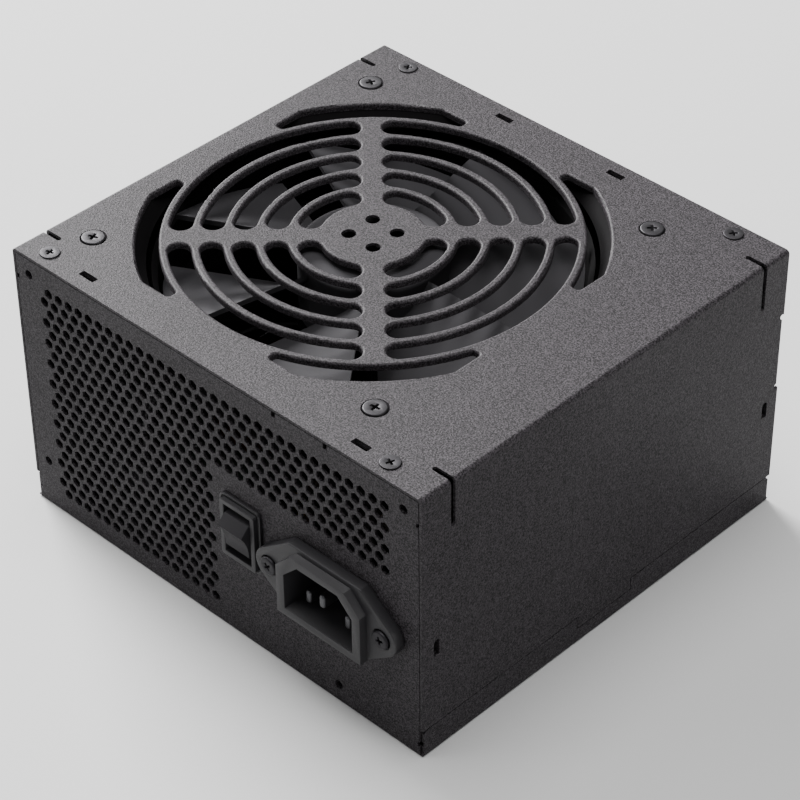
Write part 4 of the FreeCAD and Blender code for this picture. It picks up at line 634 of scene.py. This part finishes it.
class PSU_OT_screws(bpy.types.Operator):
    """Model the cover, fan and inlet screws with their cross recesses"""
    bl_idname = "psu.screws"
    bl_label = "Screws"

    def execute(self, context):
        sizes = context.scene.psu_sizes
        steel = plated_steel("black zinc plated steel", tuple(context.scene.psu_colours.screw), 0.5)
        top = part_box("fan_screws")[1].z
        seats = [(Vector((c.x, c.y, top - 1.05 * MM)), turn)
                 for c, turn in zip(loose_centres("fan_screws"), (20.0, 62.0, 8.0, 41.0))]
        model = phillips_screw("fan_screw", sizes.fan_screw / 2, 1.05 * MM, 0.45 * MM, 2.0 * MM, 8.5 * MM)
        set_screws(model, "fan_screws", seats, 0.0, steel)
        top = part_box("cover_screws")[1].z
        seats = [(Vector((c.x, c.y, top - 0.35 * MM)), turn)
                 for c, turn in zip(loose_centres("cover_screws"), (12.0, 35.0, 70.0, 52.0))]
        model = phillips_screw("cover_screw", sizes.cover_screw / 2, 0.35 * MM, 0.2 * MM,
                               1.45 * MM, 4.5 * MM, cone=0.75 * MM)
        set_screws(model, "cover_screws", seats, 0.0, steel)
        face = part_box("inlet_screws")[0].y
        height = centre_of("inlet_screws").z
        low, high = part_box("inlet_screws")
        half = (high.z - low.z) / 2
        seats = [(Vector((low.x + half, face + 0.9 * MM, height)), 38.0),
                 (Vector((high.x - half, face + 0.9 * MM, height)), 15.0)]
        model = phillips_screw("inlet_screw", sizes.inlet_screw / 2, 0.9 * MM, 0.6 * MM,
                               1.45 * MM, 7.0 * MM, cone=1.25 * MM)
        set_screws(model, "inlet_screws", seats, math.pi / 2, steel)
        return {"FINISHED"}


class PSU_OT_switch(bpy.types.Operator):
    """Model the switch's stepped bezel and its dished rocker"""
    bl_idname = "psu.switch"
    bl_label = "Rocker switch"

    def execute(self, context):
        colours = context.scene.psu_colours
        low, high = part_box("switch_housing")
        middle = (low + high) / 2
        self.bezel(context.scene.psu_sizes, middle, low.y, high.y,
                   moulded_plastic("moulded nylon bezel", tuple(colours.nylon), 0.45, gleam=0.25))
        self.rocker(context.scene.psu_sizes,
                    moulded_plastic("satin moulded nylon rocker", tuple(colours.rocker), 0.5, gleam=0.1))
        return {"FINISHED"}

    def bezel(self, sizes, middle, front, back, material):
        """Foot, groove, raised rim and body in one mesh, with a window for the rocker."""
        panel = front + sizes.bezel_out
        half_w, half_h = sizes.bezel_width / 2, sizes.bezel_height / 2
        step = sizes.bezel_out * 0.45
        bezel = start_block("switch_bezel", (-half_w, half_w), (panel - step, panel), (-half_h, half_h))
        edit(bezel)
        pick_edges(bezel, lambda a, b: abs(a.y - b.y) > 0.1 * MM)
        bpy.ops.mesh.bevel(offset=sizes.bezel_corner, segments=8, affect="EDGES")
        pick_faces(bezel, lambda c, n: n.y < -0.9)
        bpy.ops.mesh.inset(thickness=sizes.bezel_lip)
        push(y=sizes.bezel_groove)
        bpy.ops.mesh.inset(thickness=sizes.bezel_groove)
        push(y=step - sizes.bezel_out - sizes.bezel_groove)
        leave()
        wall = 1.2 * MM
        trunk = start_block("trunk", (wall - half_w, half_w - wall), (panel - 0.3 * MM, back),
                            (wall - half_h, half_h - wall))
        join_solid(bezel, trunk, "UNION")
        open_w = sizes.rocker_width / 2 + sizes.bezel_gap
        open_h = half_h - sizes.bezel_lip - sizes.bezel_groove - 1.5 * MM
        window = start_block("window", (-open_w, open_w), (front - MM, back - wall), (-open_h, open_h))
        join_solid(bezel, window, "DIFFERENCE")
        bezel.location = (middle.x, 0.0, middle.z)
        settle(bezel)
        soften(bezel, 0.2 * MM)
        finish_piece(bezel, material, "case", "black_nylon", "switch_housing")

    def rocker(self, sizes, material):
        """Rocker with crests at both ends, a hollow between them and a keel behind."""
        joint = next(j for j in frame["joints"] if j["name"] == "rocker_tilt")
        half_w, half_h = sizes.rocker_width / 2, sizes.rocker_height / 2
        crest = sizes.rocker_crest
        rocker = start_block("rocker", (-half_w, half_w), (-0.3 * MM, 1.3 * MM), (-half_h, half_h))
        edit(rocker)
        pick_faces(rocker, lambda c, n: n.y < -0.9)
        push(y=0.3 * MM - crest)
        bpy.ops.transform.resize(value=(1.0, 1.0, sizes.rocker_taper), center_override=(0.0, 0.0, 0.0))
        pick_faces(rocker, lambda c, n: n.y > 0.9)
        push(y=2.9 * MM)
        bpy.ops.transform.resize(value=(1.0, 1.0, 0.32), center_override=(0.0, 4.2 * MM, 0.0))
        leave()
        sag = sizes.rocker_dish - math.sqrt(sizes.rocker_dish ** 2 - (half_h * sizes.rocker_taper) ** 2)
        hollow = start_disc("hollow", sizes.rocker_dish, (-0.02, 0.02), sides=192)
        place(hollow, (0.0, sag - crest - sizes.rocker_dish, 0.0), (0.0, math.pi / 2, 0.0))
        join_solid(rocker, hollow, "DIFFERENCE")
        soften(rocker, 0.3 * MM)
        place(rocker, joint["pos_m"], (sizes.rocker_tilt, 0.0, 0.0))
        finish_piece(rocker, material, "rocker", "gloss_black_nylon", "switch_rocker")


class PSU_OT_inlet(bpy.types.Operator):
    """Model the mains inlet's flange, rim and pin socket"""
    bl_idname = "psu.inlet"
    bl_label = "Mains inlet"

    def execute(self, context):
        sizes = context.scene.psu_sizes
        low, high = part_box("inlet_housing")
        middle = (low + high) / 2
        panel = low.y + sizes.shroud_out
        half = (high.x - low.x) / 2
        tip = 5.2 * MM
        reach = half - tip
        tall = (high.z - low.z) / 2
        face = panel - 3.3 * MM
        flange = start_block("inlet_flange", (-half, half), (face, panel), (-tall, tall))
        self.slope_corners(flange, 12.7 * MM, tall, reach, tip)
        soften(flange, 0.35 * MM)
        flange.name = "mains_inlet"
        rim = self.bevelled_block("rim", sizes.shroud_width / 2, sizes.shroud_height / 2, 5.4 * MM,
                                  (low.y, panel))
        join_solid(flange, rim, "UNION")
        body = start_block("body", (-13.7 * MM, 13.7 * MM), (panel - MM, high.y), (-9.7 * MM, 9.7 * MM))
        join_solid(flange, body, "UNION")
        well = self.bevelled_block("well", sizes.socket_width / 2, sizes.socket_height / 2, 5.0 * MM,
                                   (low.y - MM, low.y + sizes.socket_depth))
        join_solid(flange, well, "DIFFERENCE")
        for side in (-1, 1):
            sink = start("sink", bpy.ops.mesh.primitive_cone_add, vertices=48, radius1=3.15 * MM,
                         radius2=1.55 * MM, depth=1.6 * MM, location=(0.0, 0.0, 0.0))
            place(sink, (side * reach, face + 0.79 * MM, 0.0), (-math.pi / 2, 0.0, 0.0))
            join_solid(flange, sink, "DIFFERENCE")
            bore = start_disc("bore", 1.55 * MM, (-0.02, 0.02), sides=32)
            place(bore, (side * reach, panel, 0.0), (math.pi / 2, 0.0, 0.0))
            join_solid(flange, bore, "DIFFERENCE")
        soften(flange, 0.18 * MM, rounds=2, sharp=40.0)
        place(flange, (middle.x, 0.0, middle.z))
        material = moulded_plastic("moulded nylon inlet", tuple(context.scene.psu_colours.nylon), 0.45, gleam=0.25)
        finish_piece(flange, material, "case", "black_nylon", "inlet_housing")
        self.pins(sizes)
        return {"FINISHED"}

    def pins(self, sizes):
        """Blade pins with well rounded tips, each as long as the piece it stands for."""
        nickel = plated_steel("dull nickel on brass pins", tuple(bpy.context.scene.psu_colours.pin), 0.42)
        half_x, half_z = sizes.pin_thickness / 2, sizes.pin_height / 2
        for node in ("inlet_line_pins", "inlet_earth_pin"):
            low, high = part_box(node)
            across = (low.x + half_x, high.x - half_x)
            for number, x in enumerate(sorted(set(across))):
                if number and x - across[0] < MM:
                    break
                pin = start_block("%s_%d" % (node, number + 1), (x - half_x, x + half_x),
                                  (low.y, high.y), (low.z, low.z + 2 * half_z))
                soften(pin, 0.75 * MM, rounds=5)
                finish_piece(pin, nickel, "case", "nickel_brass", node)

    def slope_corners(self, flange, top_half, tall, reach, tip):
        """Bisect the four corners along tangents of the round tips, then round the tips."""
        dx, dz = reach - top_half, tall
        distance = math.hypot(dx, dz)
        slope = math.atan2(-dz, dx) + math.asin(tip / distance)
        edit(flange)
        for side in (-1, 1):
            for end in (-1, 1):
                bpy.ops.mesh.select_all(action="SELECT")
                normal = (-side * math.sin(slope), 0.0, end * math.cos(slope))
                bpy.ops.mesh.bisect(plane_co=(side * top_half, 0.0, end * tall), plane_no=normal,
                                    use_fill=True, clear_outer=True)
        pick_edges(flange, lambda a, b: abs(a.y - b.y) > MM and min(abs(a.x), abs(b.x)) > reach + 0.6 * tip)
        bpy.ops.mesh.bevel(offset=tip * math.tan((math.pi / 2 + slope) / 2),
                           segments=8, affect="EDGES", clamp_overlap=True)
        leave()

    def bevelled_block(self, name, half_w, half_h, corner, depth):
        """Block along Y with its two upper corners cut off."""
        block = start_block(name, (-half_w, half_w), depth, (-half_h, half_h))
        edit(block)
        pick_edges(block, lambda a, b: min(a.z, b.z) > half_h - 0.01 * MM and abs(a.y - b.y) > MM)
        bpy.ops.mesh.bevel(offset=corner, segments=1, affect="EDGES")
        leave()
        return block


class PSU_OT_fan(bpy.types.Operator):
    """Finish the fan's frame and its wheel"""
    bl_idname = "psu.fan"
    bl_label = "Fan"

    def execute(self, context):
        colours = context.scene.psu_colours
        finish_nodes("fan_plastic", moulded_plastic(
            "moulded polyester frame", tuple(colours.frame), 0.75, gleam=0.04))
        finish_nodes("fan_blade_plastic", moulded_plastic(
            "moulded polyester fan wheel", tuple(colours.blade), 0.75, gleam=0.06))
        return {"FINISHED"}


class PSU_OT_inside(bpy.types.Operator):
    """Finish the parts on the converter board"""
    bl_idname = "psu.inside"
    bl_label = "Converter parts"

    def execute(self, context):
        colours = context.scene.psu_colours
        # Painted shade: the copper is toned far darker than bare enamelled copper, standing in for the shade
        # inside the closed case.
        copper = linear("#4f2813")
        finishes = {
            "plain_steel": plated_steel("zinc plated steel", linear("#77787b"), 0.4),
            "brass": plated_steel("turned brass", linear("#a8853f"), 0.35),
            "bronze": plated_steel("sintered bronze", linear("#6d5235"), 0.55, 0.5),
            "nickel_brass": plated_steel("dull nickel on brass", tuple(colours.pin), 0.45),
            "black_screw_steel": plated_steel("black zinc steel", tuple(colours.screw), 0.5),
            "aluminium": extruded_aluminium("black anodised aluminium", linear("#2b2b2d")),
            "black_epoxy": moulded_plastic("moulded epoxy", linear("#151516"), 0.55, 0.15),
            "capacitor_sleeve": moulded_plastic("shrunk sleeve", linear("#101113"), 0.35, 1.5, 0.04),
            "black_nylon": moulded_plastic("moulded nylon", tuple(colours.nylon), 0.45),
            "gloss_black_nylon": moulded_plastic("satin nylon", tuple(colours.rocker), 0.42),
            "black_wire": moulded_plastic("black wire sleeve", linear("#131314"), 0.45, 0.8),
            "brown_wire": moulded_plastic("brown wire sleeve", linear("#2a1810"), 0.45, 0.8),
            "green_yellow_wire": striped_sleeve("earth wire sleeve", linear("#1f4a22"), linear("#8a8420"), 0.9),
            "ferrite": moulded_plastic("sintered ferrite", linear("#1b1b1c"), 0.65, 0.2, 0.05),
            "copper": wound_wire("enamelled copper wire", copper, (0.0, 0.0, 0.0), 2),
            # Painted shade: the tape is toned near black, far darker than its own colour, standing in for the
            # shade inside the case.
            "polyester_tape": taped_winding("lapped polyester tape", linear("#161618")),
            "film_case": moulded_plastic("film capacitor case", linear("#2a2a2c"), 0.4),
            "dipped_ceramic": moulded_plastic("epoxy dipped ceramic", linear("#141c2c"), 0.35, 2.0, 0.08),
            "insulating_film": moulded_plastic("insulating film", linear("#18181a"), 0.35, 3.0, 0.03),
            # Painted shade: the solder mask is toned near black, far darker than its own colour, standing in for
            # the shade inside the case.
            "circuit_board": solder_mask("dark solder mask", linear("#0f1812")),
            "clear_glass": clear_glass_tube("fuse glass"),
        }
        for slot, material in finishes.items():
            finish_nodes(slot, material)
        for node, turns in (("pfc_choke_winding", 44), ("output_choke_winding", 26)):
            low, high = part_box(node)
            size = high - low
            axis = min(range(3), key=lambda a: size[a])
            coil = frame["nodes"][node].data.materials
            coil.clear()
            coil.append(wound_wire("wound " + node, copper, (low + high) / 2, axis, turns))
        return {"FINISHED"}


STEPS = ("stage", "case", "inside", "screws", "switch", "inlet", "fan")
CLASSES = (PsuSizes, PsuColours, PsuStage, PSU_OT_stage, PSU_OT_case, PSU_OT_screws,
           PSU_OT_switch, PSU_OT_inlet, PSU_OT_fan, PSU_OT_inside)


class PSU_PT_panel(bpy.types.Panel):
    """Sidebar list of the building steps and their settings"""
    bl_idname = "PSU_PT_panel"
    bl_label = "Power supply"
    bl_space_type = "VIEW_3D"
    bl_region_type = "UI"
    bl_category = "Power supply"

    def draw(self, context):
        for step in STEPS:
            self.layout.operator("psu." + step)
        for group in (context.scene.psu_sizes, context.scene.psu_colours, context.scene.psu_stage):
            box = self.layout.box()
            for key in group.__annotations__:
                box.prop(group, key)


def register():
    for cls in CLASSES + (PSU_PT_panel,):
        bpy.utils.register_class(cls)
    bpy.types.Scene.psu_sizes = PointerProperty(type=PsuSizes)
    bpy.types.Scene.psu_colours = PointerProperty(type=PsuColours)
    bpy.types.Scene.psu_stage = PointerProperty(type=PsuStage)


def unregister():
    del bpy.types.Scene.psu_stage
    del bpy.types.Scene.psu_colours
    del bpy.types.Scene.psu_sizes
    for cls in reversed(CLASSES + (PSU_PT_panel,)):
        bpy.utils.unregister_class(cls)


def main():
    """Build everything in order."""
    register()
    for step in STEPS:
        getattr(bpy.ops.psu, step)()


if __name__ == "__main__":
    main()
